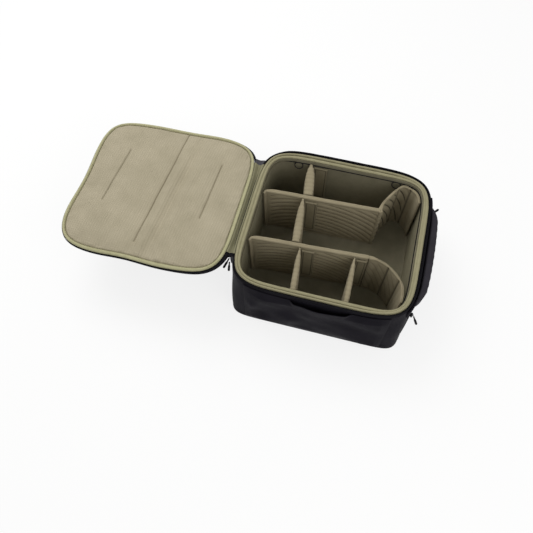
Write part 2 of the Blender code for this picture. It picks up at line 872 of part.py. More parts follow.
def saddle(name, y_low, y_high, tub_inset, lid_outset, edge_z, fold_depth, thickness, made):
    """A strip across the hinge: level at its two edges, folded down between them.

    Its rows lie closest together at its ends, where the rim and the lid begin to curve.
    """
    rows = []
    swings = np.sin(np.linspace(-pi / 2, pi / 2, gusset_rows))
    for y in (y_low + y_high) / 2 + (y_high - y_low) / 2 * swings:
        x_tub = -wall_x(y, rim_z - fold_depth, tub_inset)
        x_lid = lid_edge_x(y, lid_outset)
        lip_tub = min(x_tub - fold_lip, -wall_x(y, rim_z - fold_depth, -fold_clear))
        lip_lid = lid_edge_x(y, max(lid_outset, lid_shell_outset + fold_clear) + fold_lip)
        xs = [x_tub] + [lip_tub + (lip_lid - lip_tub) * share for share in fold_place_shares]
        xs.append(x_lid)
        drops = [0.0] + [fold_depth * share for share in fold_drop_shares] + [0.0]
        upper = [(x, y, edge_z - drop) for x, drop in zip(xs, drops)]
        lower = [(x, y, edge_z - drop - thickness) for x, drop in zip(xs, drops)]
        rows.append(upper + lower[::-1])
    finish(name, grid_mesh(name, rows, False, True), made)


zip_inner_share = 1 - zip_band_width / shell_half_x
gusset_near_y = zip_end_near_y * zip_inner_share + seam_gap
gusset_far_y = zip_end_far_y * zip_inner_share - seam_gap
saddle(
    "hinge_gusset", gusset_near_y, gusset_far_y, zip_band_width, 2 * seam_gap,
    gusset_edge_z, gusset_fold_depth, gusset_thickness,
    material("gusset_fabric", olive_binding, 0.9),
)
saddle(
    "hinge_backing", gusset_near_y, gusset_far_y, zip_band_width,
    lid_shell_outset + seam_gap, gusset_edge_z - gusset_thickness - seam_gap,
    gusset_fold_depth, gusset_thickness, material("hinge_nylon", black_nylon, 0.6),
)
tab_lid_outset = lid_shell_outset + 2 * seam_gap + tape_thickness
saddle(
    "zip_end_tab_far", zip_end_far_y, zip_end_far_y + far_tab_length, -seam_gap,
    tab_lid_outset, tab_edge_z, tab_fold_depth, tab_thickness,
    material("zip_end_tape_far", grey_tape, 0.8),
)
saddle(
    "zip_end_tab_near", zip_end_near_y - near_tab_length, zip_end_near_y, -seam_gap,
    tab_lid_outset, tab_edge_z, tab_fold_depth, tab_thickness,
    material("zip_end_tape_near", black_cord, 0.8),
)

# Lid zip slider on the near left corner, with two cord pulls. It turns about the
# middle of the circle that fits the corner of the zip
run_radius = 0.060
lid_slider_park = 0.0125
lid_slider_y = zip_end_near_y - lid_slider_park
lid_slider_length = 0.011
lid_slider_width = 0.0055
lid_slider_low_z = coil_low + coil_height + seam_gap
lid_slider_high_z = tub_height
run_centre = Vector((run_radius - shell_half_x, run_radius - shell_half_y, tub_height))


def lid_slider():
    """The slider lies on the coil, along the outline where it is parked."""
    at = Vector((-wall_x(lid_slider_y, tub_height), lid_slider_y, 0.0))
    arm = at - Vector((run_centre.x, run_centre.y, 0.0))
    turn = np.arctan2(arm.y, arm.x)
    runner = hinge_empty("lid_slider_axis", run_centre)
    low = Vector((arm.length - lid_slider_width / 2, -lid_slider_length / 2, 0.0))
    high = Vector((arm.length + lid_slider_width / 2, lid_slider_length / 2, 0.0))
    low.z = lid_slider_low_z - tub_height
    high.z = lid_slider_high_z - tub_height
    made = material("lid_zip_slider", dark_metal, 0.35, 0.6)
    body = box("lid_zip_slider", low, high, made, runner, slider_bevel / 2)
    body.rotation_euler = (0.0, 0.0, turn)
    outward = arm.normalized()
    edge = at + outward * (lid_slider_width / 2 + pull_radius + pull_clear)
    edge.z = (lid_slider_low_z + lid_slider_high_z) / 2
    along = Vector((-outward.y, outward.x, 0.0))
    for number, (side, length, direction) in enumerate(lid_pulls, start=1):
        start = edge + along * side * lid_pull_spread
        swing = hinge_empty(f"lid_pull_{number}_axis", start)
        carry(swing, runner)
        cord_pull(f"lid_zip_pull_{number}", start, direction, length, swing)


lid_pull_spread = 0.0033
long_pull_length = 0.020
short_pull_length = 0.0155
lid_pulls = (
    (-1, long_pull_length, (-0.35, -0.70, -0.62)),
    (1, short_pull_length, (0.10, -0.80, -0.59)),
)
lid_slider()

# Dividers: padded boards that stand on the floor and stop short of the rim
divider_low_z = floor_z + seam_gap
divider_high_z = tub_height - divider_top_drop
section_shares = (1.0, 0.96, 0.72, 0.0, -0.72, -0.96, -1.0)
section_round = 0.0045
section_drops = (1.0, 0.55, 0.16, 0.0, 0.16, 0.55, 1.0)


def strip_rows(path, halves):
    """Sections of a padded strip along a plan path, mitred where the path turns."""
    path = np.asarray(path, dtype=float)
    steps = np.diff(path, axis=0)
    steps /= np.linalg.norm(steps, axis=1)[:, None]
    before = np.vstack([steps[:1], steps])
    after = np.vstack([steps, steps[-1:]])
    along = before + after
    along /= np.linalg.norm(along, axis=1)[:, None]
    across = np.column_stack([-along[:, 1], along[:, 0]])
    stretch = 1 / np.sum(along * after, axis=1)
    rows = []
    for place, side, half, widen in zip(path, across, halves, stretch):
        reach = half * widen
        rounding = min(section_round, half)
        row = [(*(place + side * reach), divider_low_z)]
        for share, drop in zip(section_shares, section_drops):
            row.append((*(place + side * reach * share), divider_high_z - rounding * drop))
        row.append((*(place - side * reach), divider_low_z))
        rows.append(np.array(row))
    return rows


def pulled_in(rows, gap):
    """The same strip, shorter by half the gap at each end."""
    rows = [row.copy() for row in rows]
    first = np.mean(rows[1] - rows[0], axis=0)
    last = np.mean(rows[-2] - rows[-1], axis=0)
    rows[0] += first / np.linalg.norm(first) * gap / 2
    rows[-1] += last / np.linalg.norm(last) * gap / 2
    return rows


def smooth_path(points):
    """A curve through plan points, with a few steps to each span."""
    points = np.asarray(points, dtype=float)
    ends = np.vstack([2 * points[0] - points[1], points, 2 * points[-1] - points[-2]])
    curve = []
    for a, b, c, d in zip(ends, ends[1:], ends[2:], ends[3:]):
        for t in np.arange(path_steps) / path_steps:
            pull_b, pull_c = (c - a) / 2, (d - b) / 2
            rise = 3 * t ** 2 - 2 * t ** 3
            lead = (t - 2 * t ** 2 + t ** 3) * pull_b + (t ** 3 - t ** 2) * pull_c
            curve.append(b * (1 - rise) + c * rise + lead)
    return np.vstack([curve, points[-1:]])


def wall_point(bearing, off):
    """A plan point inside the lining at this bearing, off the wall."""
    inset = inside_inset + off
    corner = rim_corner_radius - inset
    return outline(shell_half_x - inset, shell_half_y - inset, corner, np.array([bearing]))[0]


def padded_strip(name, rows, made, empty):
    """One padded panel of a divider."""
    panel = finish(name, grid_mesh(name, pulled_in(rows, crease_gap), False, True), made)
    carry(panel, empty)


# Long dividers: end flap on the left wall, straight panel, flare and tip
straight_left_share = -0.863
straight_right_share = 0.496
straight_left_x = inside_half_x * straight_left_share
straight_right_x = inside_half_x * straight_right_share
long_divider_shares = {
    "far": {"left_y": 0.414, "right_y": 0.469, "flap_y": 0.350},
    "near": {"left_y": -0.358, "right_y": -0.278, "flap_y": -0.422},
}
long_dividers = {
    side: {place: inside_half_y * share for place, share in places.items()}
    for side, places in long_divider_shares.items()
}
half_thickness = divider_thickness / 2
flap_half_thickness = 0.0025
hug = divider_wall_gap + half_thickness
flare_bend_shares = (0.30, 0.41)
far_hug_bearings = tuple(radians(turn) for turn in (49.0, 44.5, 39.5, 34.5))
far_hug_extra_shares = (0.7, 0.2, 0.0, 0.0)
near_flare_shares = ((0.27, 0.06), (0.57, 0.17), (0.92, 0.46))
near_hug_bearing = radians(-39.0)


def long_divider(side, flare_points, tip_count):
    """Four panels along one path, the tip on its own hinge at the last crease."""
    places = long_dividers[side]
    lift = hinge_empty(f"divider_{side}_lift", (0.0, places["left_y"], divider_low_z))
    left = np.array([straight_left_x, places["left_y"]])
    right = np.array([straight_right_x, places["right_y"]])
    flap_x = -inside_half_x + divider_wall_gap + flap_half_thickness
    flap = np.array([flap_x, places["flap_y"]])
    curve = smooth_path([right, *flare_points])
    path = np.vstack([[flap], [left], curve])
    halves = [flap_half_thickness, half_thickness] + [half_thickness] * len(curve)
    rows = strip_rows(path, halves)
    crease = len(rows) - tip_count - 1
    made = material(f"divider_{side}_padding", beige_pad, 0.95)
    padded_strip(f"divider_{side}_end_flap", rows[0:2], made, lift)
    padded_strip(f"divider_{side}_panel", rows[1:3], made, lift)
    padded_strip(f"divider_{side}_flare", rows[2:crease + 1], made, lift)
    tip_axis = hinge_empty(f"divider_{side}_tip_axis", rows[crease][-1])
    carry(tip_axis, lift)
    padded_strip(f"divider_{side}_tip", rows[crease:], made, tip_axis)


def far_flare():
    """From the straight panel to the far wall, then along the corner to the right wall."""
    hugging = [
        wall_point(bearing, hug + half_thickness * share)
        for bearing, share in zip(far_hug_bearings, far_hug_extra_shares)
    ]
    start = np.array([straight_right_x, long_dividers["far"]["right_y"]])
    span = hugging[0] - start
    bend = start + span * np.array(flare_bend_shares)
    return [bend, *hugging]


def near_flare():
    """A long bend from the straight panel to the right wall."""
    start = np.array([straight_right_x, long_dividers["near"]["right_y"]])
    end = wall_point(near_hug_bearing, hug)
    bends = [start + (end - start) * np.array(share) for share in near_flare_shares]
    return [*bends, end]


long_divider("far", far_flare(), 2 * path_steps)
long_divider("near", near_flare(), path_steps)


def long_y(side, x):
    """Middle line of a long divider's straight panel at x."""
    places = long_dividers[side]
    share = (x - straight_left_x) / (straight_right_x - straight_left_x)
    return places["left_y"] + (places["right_y"] - places["left_y"]) * share


# Short dividers: leaf-shaped boards, thin at the far end, with a hook flap there
leaf_half_thickness = 0.0080
leaf_width_shares = (0.22, 0.62, 0.90, 1.0, 0.94)
leaf_place_shares = (0.0, 0.10, 0.35, 0.70, 1.0)
hook_thickness = 0.0030
hook_length = 0.026
hook_height = 0.090
hook_drop = 0.0065
hook_high_z = divider_high_z - hook_drop
hook_low_z = hook_high_z - hook_height
board_gap = 0.0008
far_wall_y = inside_half_y - divider_wall_gap
side_gap = half_thickness + board_gap

# Far and near end as shares of the inside half length, then thickness and hook length
short_divider_shares = {
    "1": (-0.475, -0.414, 1.22, 1.00),
    "2": (-0.460, -0.410, 0.98, 0.85),
    "3": (-0.338, -0.295, 0.75, 0.85),
    "4": (0.324, 0.331, 0.70, 0.73),
}
short_divider_carriers = {
    "1": ("wall", "far"),
    "2": ("far", "near"),
    "3": ("near", "wall"),
    "4": ("near", "wall"),
}


def far_limit(carrier, x):
    """Where a short divider's far end stops at x: at the far wall or at a long divider."""
    return far_wall_y if carrier == "wall" else long_y(carrier, x) - side_gap


def near_limit(carrier, x):
    """Where its near end stops at x."""
    return -far_wall_y if carrier == "wall" else long_y(carrier, x) + side_gap


def hook_flap(name, start_x, length, carrier, made, lift):
    """The flap of hook tape, flat on the wall or the long divider behind the far end."""
    rows = []
    for x in (start_x, start_x + length):
        y = far_limit(carrier, x)
        front_y = y - hook_thickness
        rows.append([
            (x, y, hook_low_z),
            (x, front_y, hook_low_z),
            (x, front_y, hook_high_z),
            (x, y, hook_high_z),
        ])
    hook = finish(name, grid_mesh(name, rows, False, True), made)
    add_bevel(hook, hook_thickness / 3)
    carry(hook, lift)


def short_divider(number):
    """A leaf-shaped board and the hook flap behind its far end."""
    name = f"short_divider_{number}"
    far_share, near_share, thickness_share, hook_share = short_divider_shares[number]
    far_carrier, near_carrier = short_divider_carriers[number]
    far_x, near_x = inside_half_x * far_share, inside_half_x * near_share
    far = np.array([far_x, far_limit(far_carrier, far_x)])
    near = np.array([near_x, near_limit(near_carrier, near_x)])
    lift = hinge_empty(f"{name}_lift", (*far, divider_low_z))
    path = [far + (near - far) * share for share in leaf_place_shares]
    half = leaf_half_thickness * thickness_share
    rows = strip_rows(path, [half * share for share in leaf_width_shares])
    made = material(f"{name}_padding", beige_pad, 0.95)
    padded_strip(name, rows, made, lift)
    depth_share = hook_thickness / np.linalg.norm(near - far)
    beside = half * np.interp(depth_share, leaf_place_shares, leaf_width_shares) + board_gap
    hook_flap(f"{name}_hook", far_x + beside, hook_length * hook_share, far_carrier, made, lift)


for number in short_divider_shares:
    short_divider(number)
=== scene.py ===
import math

import bpy
import numpy as np
from mathutils import Matrix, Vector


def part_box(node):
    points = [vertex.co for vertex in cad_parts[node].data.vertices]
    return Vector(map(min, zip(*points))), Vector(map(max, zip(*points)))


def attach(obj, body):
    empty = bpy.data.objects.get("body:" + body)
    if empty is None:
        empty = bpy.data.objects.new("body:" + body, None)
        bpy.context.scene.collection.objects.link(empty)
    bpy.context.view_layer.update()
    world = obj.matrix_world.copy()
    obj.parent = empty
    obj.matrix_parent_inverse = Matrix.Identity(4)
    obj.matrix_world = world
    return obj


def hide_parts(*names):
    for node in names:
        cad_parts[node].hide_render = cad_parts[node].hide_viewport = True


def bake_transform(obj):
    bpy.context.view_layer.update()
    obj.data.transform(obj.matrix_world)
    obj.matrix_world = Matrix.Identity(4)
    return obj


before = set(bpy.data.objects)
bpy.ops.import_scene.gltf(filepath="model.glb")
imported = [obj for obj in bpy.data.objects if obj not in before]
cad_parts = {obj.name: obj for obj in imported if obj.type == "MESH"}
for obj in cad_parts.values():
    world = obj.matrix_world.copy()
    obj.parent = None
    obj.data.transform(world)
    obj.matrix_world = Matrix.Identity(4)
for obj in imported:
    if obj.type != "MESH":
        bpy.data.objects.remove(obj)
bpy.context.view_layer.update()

# Camera: high above the near side, a little to the right, as a camera on a copy stand
# tipped towards the maker. Its lens and distance give the tub its real taper.
view_azimuth = 0.296
view_elevation = 1.124
view_roll = -0.041
view_distance = 1.0329
view_target = np.array([-0.111, -0.03345, 0.0])
sensor_width = 36.0
lens = 36.37

level = math.cos(view_elevation)
back = np.array([math.sin(view_azimuth) * level, -math.cos(view_azimuth) * level, math.sin(view_elevation)])
across = np.array([math.cos(view_azimuth), math.sin(view_azimuth), 0.0])
upward = np.cross(back, across)
rolled_across = across * math.cos(view_roll) + upward * math.sin(view_roll)
rolled_upward = upward * math.cos(view_roll) - across * math.sin(view_roll)
camera_data = bpy.data.cameras.new("stand_camera")
camera_data.lens = lens
camera_data.sensor_width = sensor_width
camera = bpy.data.objects.new("stand_camera", camera_data)
camera_axes = np.eye(4)
camera_axes[:3, :4] = np.column_stack(
    [rolled_across, rolled_upward, back, view_target + back * view_distance]
)
camera.matrix_world = Matrix(camera_axes.tolist())
bpy.context.scene.collection.objects.link(camera)
bpy.context.scene.camera = camera
bpy.context.scene.view_settings.view_transform = "Standard"


# Studio: a pale floor under a soft dome, with one broad lamp to the upper left and a
# weaker one on the right, so the walls inside fall off gently in tone.
def linear(code):
    """sRGB hex to linear light: each channel c is c / 12.92 where dark, else ((c + 0.055) / 1.055) **
    2.4."""
    channels = np.array([int(code[i:i + 2], 16) for i in (1, 3, 5)]) / 255
    bright = ((channels + 0.055) / 1.055) ** 2.4
    return (*np.where(channels <= 0.04045, channels / 12.92, bright).tolist(), 1.0)


def add(tree, kind, inputs=None, **settings):
    """Adds one node of that kind to the tree. Settings are its own choices; inputs are values or links,
    by socket."""
    made = tree.nodes.new(kind)
    for name, value in settings.items():
        setattr(made, name, value)
    for name, value in (inputs or {}).items():
        if isinstance(value, bpy.types.NodeSocket):
            tree.links.new(value, made.inputs[name])
        else:
            made.inputs[name].default_value = value
    return made


def seen_straight(tree):
    """1 for a ray from the camera, a mirror or glass, else 0: the largest of the three."""
    path = add(tree, "ShaderNodeLightPath")
    first = add(
        tree,
        "ShaderNodeMath",
        {0: path.outputs["Is Camera Ray"], 1: path.outputs["Is Glossy Ray"]},
        operation="MAXIMUM"
    )
    both = add(
        tree,
        "ShaderNodeMath",
        {0: first.outputs[0], 1: path.outputs["Is Transmission Ray"]},
        operation="MAXIMUM"
    )
    return both.outputs[0]


dome_strength = 0.60
world = bpy.data.worlds.new("soft_dome")
world.use_nodes = True
world.node_tree.nodes.clear()
dome = add(world.node_tree, "ShaderNodeBackground", {"Color": linear("#FFFFFF"), "Strength": dome_strength})
backdrop = add(world.node_tree, "ShaderNodeBackground", {"Color": linear("#FFFFFF"), "Strength": 1.0})
shown = add(
    world.node_tree,
    "ShaderNodeMixShader",
    {0: seen_straight(world.node_tree), 1: dome.outputs[0], 2: backdrop.outputs[0]}
)
add(world.node_tree, "ShaderNodeOutputWorld", {"Surface": shown.outputs[0]})
bpy.context.scene.world = world

floor_half = 3.0
floor_mesh = bpy.data.meshes.new("studio_floor")
floor_corners = [
    (-floor_half, -floor_half, 0),
    (floor_half, -floor_half, 0),
    (floor_half, floor_half, 0),
    (-floor_half, floor_half, 0)
]
floor_mesh.from_pydata(floor_corners, [], [(0, 1, 2, 3)])
studio_floor = bpy.data.objects.new("studio_floor", floor_mesh)
bpy.context.scene.collection.objects.link(studio_floor)
# Matt white paper: it glows a little to the camera, so it stays white under its own shadow
paper = bpy.data.materials.new("matt_white_paper")
paper.use_nodes = True
paper.node_tree.nodes.clear()
paper_matt = add(paper.node_tree, "ShaderNodeBsdfDiffuse", {"Color": linear("#F6F6F5")})
paper_glow = add(paper.node_tree, "ShaderNodeEmission", {"Color": linear("#FFFFFF"), "Strength": 1.0})
paper_share = add(
    paper.node_tree, "ShaderNodeMath", {0: seen_straight(paper.node_tree), 1: 0.80}, operation="MULTIPLY"
)
paper_mix = add(
    paper.node_tree,
    "ShaderNodeMixShader",
    {0: paper_share.outputs[0], 1: paper_matt.outputs[0], 2: paper_glow.outputs[0]}
)
add(paper.node_tree, "ShaderNodeOutputMaterial", {"Surface": paper_mix.outputs[0]})
floor_mesh.materials.append(paper)

for lamp_name, place, power, size in (
    ("broad_lamp", (-0.75, 0.55, 1.45), 13.0, 1.0),
    ("side_lamp", (0.95, -0.75, 1.15), 5.0, 0.9),
):
    lamp_data = bpy.data.lights.new(lamp_name, "AREA")
    lamp_data.energy = power
    lamp_data.size = size
    lamp = bpy.data.objects.new(lamp_name, lamp_data)
    aim = np.array([-0.1, 0.0, 0.08]) - np.array(place)
    lamp.location = place
    lamp.rotation_euler = (
        math.atan2(np.hypot(aim[0], aim[1]), -aim[2]), 0.0, math.atan2(aim[1], aim[0]) - math.pi / 2
    )
    bpy.context.scene.collection.objects.link(lamp)


# Tub walls: one bag of black nylon, cut in two walls round the corners, over foam boards.
# A hem strip binds its lower edge, and the right wall is cut out for the zipped door.
shell_half_x = 0.1545
shell_half_y = 0.1412
tub_height = 0.1425
shell_top = 0.1370
hem_top = 0.0082
shell_cloth = 0.0012
door_far_y = 0.0880
door_near_y = -0.1000
door_low = 0.0148
door_high = 0.1080


def corner_at(z):
    """The corner radius grows in a straight line with height, from 24 mm at the floor to 55 mm at the
    rim."""
    return 0.024 + 0.031 * z / tub_height


def outline(turn, half_x, half_y, corner):
    """A rounded rectangle from above: reach = (|cos/half_x|^p + |sin/half_y|^p)^(-1/p), with p = 0.286 /
    corner."""
    power = 0.286 / corner
    reach = (np.abs(np.cos(turn) / half_x) ** power + np.abs(np.sin(turn) / half_y) ** power) ** (-1 / power)
    return reach * np.cos(turn), reach * np.sin(turn)


def tub_wall(turn, z, inset):
    """A point of the tub's wall: the outline at height z, moved in by inset."""
    turn, z, inset = np.broadcast_arrays(turn, z, inset)
    x, y = outline(turn, shell_half_x - inset, shell_half_y - inset, corner_at(z) - inset)
    return np.stack([x, y, z], axis=-1)


def turn_at(y, z, inset):
    """The bearing on the right wall where the outline has this y, read off a fine table of the
    outline."""
    table = np.linspace(-1.2, 1.2, 2401)
    edge = tub_wall(table, z, inset)
    return np.interp(y, edge[:, 1], table)


def door_turns(z, inset, across_door, round_rest):
    """Bearings of one ring: even steps across the door, then even steps round the rest of the tub."""
    near, far = turn_at(door_near_y, z, inset), turn_at(door_far_y, z, inset)
    door = np.linspace(near, far, across_door, endpoint=False)
    rest = np.linspace(far, near + 2 * math.pi, round_rest, endpoint=False)
    return np.concatenate([door, rest])


def ripples(places, sizes, seed):
    """A soft uneven height from -1 to 1: a mean of sines of three coordinates with seeded directions and
    phases."""
    rolled = np.random.default_rng(seed)
    total = np.zeros(places.shape[:-1])
    for size in sizes:
        for _ in range(3):
            way = rolled.normal(size=3)
            way /= np.linalg.norm(way)
            total += np.sin(places @ way * 2 * math.pi / size + rolled.uniform(0, 2 * math.pi))
    return total / (3 * len(sizes))


def run_lengths(points, axis):
    """Distance run along one way of the grid, averaged over the other way."""
    steps = np.linalg.norm(np.diff(points, axis=axis), axis=-1).mean(axis=1 - axis)
    return np.concatenate([[0.0], np.cumsum(steps)])


def sewn(name, points, wrap_rows=False, wrap_columns=False, keep=None, ends=None, closed=True, flip=False):
    """A mesh of quads over a grid of points, rows by columns.

    A wrapped way joins its last line to its first. The UV map is the distance run along each way, in
    metres. ends="ladder" closes a strip's two ends rung by rung, ends="fan" with one face each, and
    ends="pole" closes only the last ring, with one face.
    A closed surface whose volume comes out negative is turned inside out.
    """
    rows, columns = points.shape[:2]
    full = np.concatenate([points, points[:1]], axis=0) if wrap_rows else points
    full = np.concatenate([full, full[:, :1]], axis=1) if wrap_columns else full
    along, around = run_lengths(full, 0), run_lengths(full, 1)
    i, j = np.meshgrid(np.arange(full.shape[0] - 1), np.arange(full.shape[1] - 1), indexing="ij")
    kept = np.ones(i.shape, bool) if keep is None else keep
    i, j = i[kept], j[kept]
    corner_rows = np.stack([i, i, i + 1, i + 1], axis=1)
    corner_columns = np.stack([j, j + 1, j + 1, j], axis=1)
    quads = (corner_rows % rows) * columns + corner_columns % columns
    uv = np.stack([around[corner_columns], along[corner_rows]], axis=-1)
    loops, starts = quads.reshape(-1), np.arange(len(quads)) * 4
    totals = np.full(len(quads), 4)
    uv = uv.reshape(-1, 2)
    if ends is not None:
        for row, turned in ((0, True), (rows - 1, False))[ends == "pole":]:
            ring = row * columns + np.arange(columns)
            if ends == "ladder":
                k = np.arange(columns // 2 - 1)
                rungs = np.stack([ring[k], ring[k + 1], ring[columns - 2 - k], ring[columns - 1 - k]], axis=1)
                width = 4
            else:
                rungs, width = ring[None, :], columns
            rungs = rungs[:, ::-1] if turned else rungs
            flat = points.reshape(-1, 3)[rungs.reshape(-1)]
            starts = np.concatenate([starts, len(loops) + np.arange(len(rungs)) * width])
            loops = np.concatenate([loops, rungs.reshape(-1)])
            totals = np.concatenate([totals, np.full(len(rungs), width)])
            uv = np.concatenate([uv, np.stack([flat[:, 0] + flat[:, 1], flat[:, 2]], axis=1)])
    corners = points.reshape(-1, 3)
    volume = 0.0
    if closed:
        a, b, c = (corners[quads[:, n]] for n in (0, 1, 2))
        d = corners[quads[:, 3]]
        volume = np.einsum("ij,ij->", a, np.cross(b, c)) + np.einsum("ij,ij->", a, np.cross(c, d))
    if flip or volume < 0:
        order = np.concatenate([np.arange(s + t - 1, s - 1, -1) for s, t in zip(starts, totals)])
        loops, uv = loops[order], uv[order]
    mesh = bpy.data.meshes.new(name)
    mesh.vertices.add(len(corners))
    mesh.vertices.foreach_set("co", corners.astype(np.float32).reshape(-1))
    mesh.loops.add(len(loops))
    mesh.loops.foreach_set("vertex_index", loops.astype(np.int32))
    mesh.polygons.add(len(starts))
    mesh.polygons.foreach_set("loop_start", starts.astype(np.int32))
    mesh.polygons.foreach_set("loop_total", totals.astype(np.int32))
    mesh.update(calc_edges=True)
    mesh.uv_layers.new(name="run").data.foreach_set("uv", uv.astype(np.float32).reshape(-1))
    mesh.polygons.foreach_set("use_smooth", np.ones(len(starts), bool))
    mesh.validate()
    piece = bpy.data.objects.new(name, mesh)
    bpy.context.scene.collection.objects.link(piece)
    return piece


def shaded(piece, shade):
    """Keeps a share from 0 to 1 at each point of the piece: how much of the seam's thread and shadow
    shows there."""
    kept = piece.data.attributes.new("seam_shade", "FLOAT", "POINT")
    kept.data.foreach_set("value", np.clip(shade, 0, 1).astype(np.float32).reshape(-1))


def thick(piece, depth):
    """Gives a single sheet its thickness, away from the side that it faces."""
    wall = piece.modifiers.new("cloth_thickness", "SOLIDIFY")
    wall.thickness = depth
    wall.offset = -1.0
    wall.use_even_offset = True


def dress(piece, material, body, slot, *nodes):
    """Puts the material on a piece, and says what it rides on and stands for; slot is not used."""
    piece.data.materials.clear()
    piece.data.materials.append(material)
    if nodes:
        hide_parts(*nodes)
    if body:
        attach(piece, body)
    return piece


def swollen(name, points, held, cap, ends):
    """Blows a padded surface up a little with Cloth, as its filling does, and returns how far each point
    went.

    Every third line of the grid each way makes a coarse closed mesh, pinned by held (0 free to 1 sewn down).
    It is stepped through 20 frames under pressure without gravity. A move longer than cap is cut to it,
    and the moves are spread back over the fine grid and smoothed twice by (1, 2, 1) / 4 each way.
    """
    rows, columns = points.shape[:2]
    kept_rows = np.unique(np.concatenate([np.arange(0, rows, 3), [rows - 1]]))
    kept_columns = np.arange(0, columns - 1, 3)
    coarse = points[kept_rows][:, kept_columns]
    trial = sewn(f"{name}_trial", coarse, wrap_columns=True, ends=ends)
    pins = trial.vertex_groups.new(name="sewn_down")
    for index, weight in enumerate(held[kept_rows][:, kept_columns].reshape(-1)):
        pins.add([index], float(weight), "REPLACE")
    swell = trial.modifiers.new("swell", "CLOTH")
    rules = swell.settings
    rules.quality = 4
    rules.vertex_group_mass = "sewn_down"
    rules.use_pressure = True
    rules.uniform_pressure_force = 4.0
    rules.bending_stiffness = 0.6
    rules.effector_weights.gravity = 0.0
    swell.point_cache.frame_start, swell.point_cache.frame_end = 1, 20
    for step in range(1, 21):
        bpy.context.scene.frame_set(step)
    shape = trial.evaluated_get(bpy.context.evaluated_depsgraph_get()).to_mesh()
    after = np.empty(len(shape.vertices) * 3, np.float32)
    shape.vertices.foreach_get("co", after)
    moved = after.reshape(coarse.shape) - coarse
    bpy.data.objects.remove(trial)
    bpy.context.scene.frame_set(1)
    length = np.linalg.norm(moved, axis=-1, keepdims=True)
    moved = moved * np.minimum(1.0, cap / np.maximum(length, 1e-9))
    at = np.arange(columns)
    ring = np.concatenate([kept_columns, [columns]])
    moved = np.concatenate([moved, moved[:, :1]], axis=1)
    across = np.stack([[np.interp(at, ring, line[:, n]) for n in range(3)] for line in moved])
    fine = np.stack(
        [[np.interp(np.arange(rows), kept_rows, across[:, n, k]) for k in range(columns)] for n in range(3)]
    )
    fine = np.moveaxis(fine, 0, -1).swapaxes(0, 1)
    for _ in range(2):
        fine = (np.roll(fine, 1, axis=1) + 2 * fine + np.roll(fine, -1, axis=1)) / 4
        fine[1:-1] = (fine[:-2] + 2 * fine[1:-1] + fine[2:]) / 4
    return fine


def wave(tree, place, pitch, direction):
    """Even ridges of that pitch in metres: Blender's band texture has a period of pi / 10 at scale 1."""
    made = add(
        tree, "ShaderNodeTexWave", {"Vector": place, "Scale": math.pi / 10 / pitch, "Distortion": 0.0},
        wave_type="BANDS", bands_direction=direction, wave_profile="SIN",
    )
    return made.outputs["Fac"]


def mottle(tree, place, size, detail=2.0, rough=0.55):
    """Cloudy noise with patches of about that size in metres."""
    made = add(
        tree,
        "ShaderNodeTexNoise",
        {"Vector": place, "Scale": 1 / size, "Detail": detail, "Roughness": rough}
    )
    return made.outputs["Fac"]


def sums(tree, operation, first, second):
    """One step of arithmetic on two sockets or numbers."""
    return add(tree, "ShaderNodeMath", {0: first, 1: second}, operation=operation).outputs[0]


def blended(tree, share, first, second):
    """A colour between two, by share."""
    made = add(tree, "ShaderNodeMix", {0: share, 6: first, 7: second}, data_type="RGBA", clamp_factor=True)
    return made.outputs[2]


def cloth(
        name,
        dark,
        light,
        patch,
        pitch,
        depth,
        nap,
        roughness,
        sheen=0.0,
        sheen_colour="#FFFFFF",
        twill=False,
        space="UV",
        seam=None,
        gloss=0.3
):
    """A cloth finish: two tones in soft patches, threads of that pitch that cross, and a nap of fine
    noise.

    The bump height is the higher of the two thread waves, plus nap times fine noise. Where the piece's own
    seam_shade attribute rises to 1 the colour goes over to the seam colour: dark thread on the lid binding,
    the lining's olive over the cord, and painted shade with dark thread in the sewn grooves and creases of
    the padding.
    """
    material = bpy.data.materials.new(name)
    material.use_nodes = True
    tree = material.node_tree
    shader = tree.nodes["Principled BSDF"]
    places = add(tree, "ShaderNodeTexCoord")
    threads = places.outputs[space]
    solid = places.outputs["Object"]
    if twill:
        turned = add(tree, "ShaderNodeMapping", {"Vector": threads, "Rotation": (0.0, 0.0, math.radians(45))})
        weave = wave(tree, turned.outputs[0], pitch, "X")
    else:
        weave = sums(tree, "MAXIMUM", wave(tree, threads, pitch, "X"), wave(tree, threads, pitch, "Y"))
    fine = mottle(tree, solid, 0.0016, 3.0, 0.7)
    height = sums(tree, "MULTIPLY_ADD", fine, nap)
    tree.links.new(weave, height.node.inputs[2])
    bump = add(tree, "ShaderNodeBump", {"Height": height, "Strength": 0.6, "Distance": depth})
    tree.links.new(bump.outputs[0], shader.inputs["Normal"])
    tones = sums(
        tree,
        "ADD",
        sums(tree, "MULTIPLY", mottle(tree, solid, patch), 0.75),
        sums(tree, "MULTIPLY", fine, 0.25)
    )
    colour = blended(tree, tones, linear(dark), linear(light))
    if seam:
        shade = add(tree, "ShaderNodeAttribute", attribute_name="seam_shade", attribute_type="GEOMETRY")
        colour = blended(tree, shade.outputs["Fac"], colour, linear(seam))
    tree.links.new(colour, shader.inputs["Base Color"])
    shader.inputs["Roughness"].default_value = roughness
    shader.inputs["Specular IOR Level"].default_value = gloss
    shader.inputs["Sheen Weight"].default_value = sheen
    shader.inputs["Sheen Roughness"].default_value = 0.5
    shader.inputs["Sheen Tint"].default_value = linear(sheen_colour)
    return material


# Black nylon: a plain weave that catches light on its folds, slightly violet where it does.
# Its real threads are 0.4 mm apart, drawn here 1.1 mm apart so that they show.
nylon = cloth(
    "black_nylon_cloth",
    "#131216",
    "#242228",
    0.03,
    0.0011,
    0.00016,
    0.5,
    0.42,
    0.003,
    "#8C8496",
    gloss=0.008
)

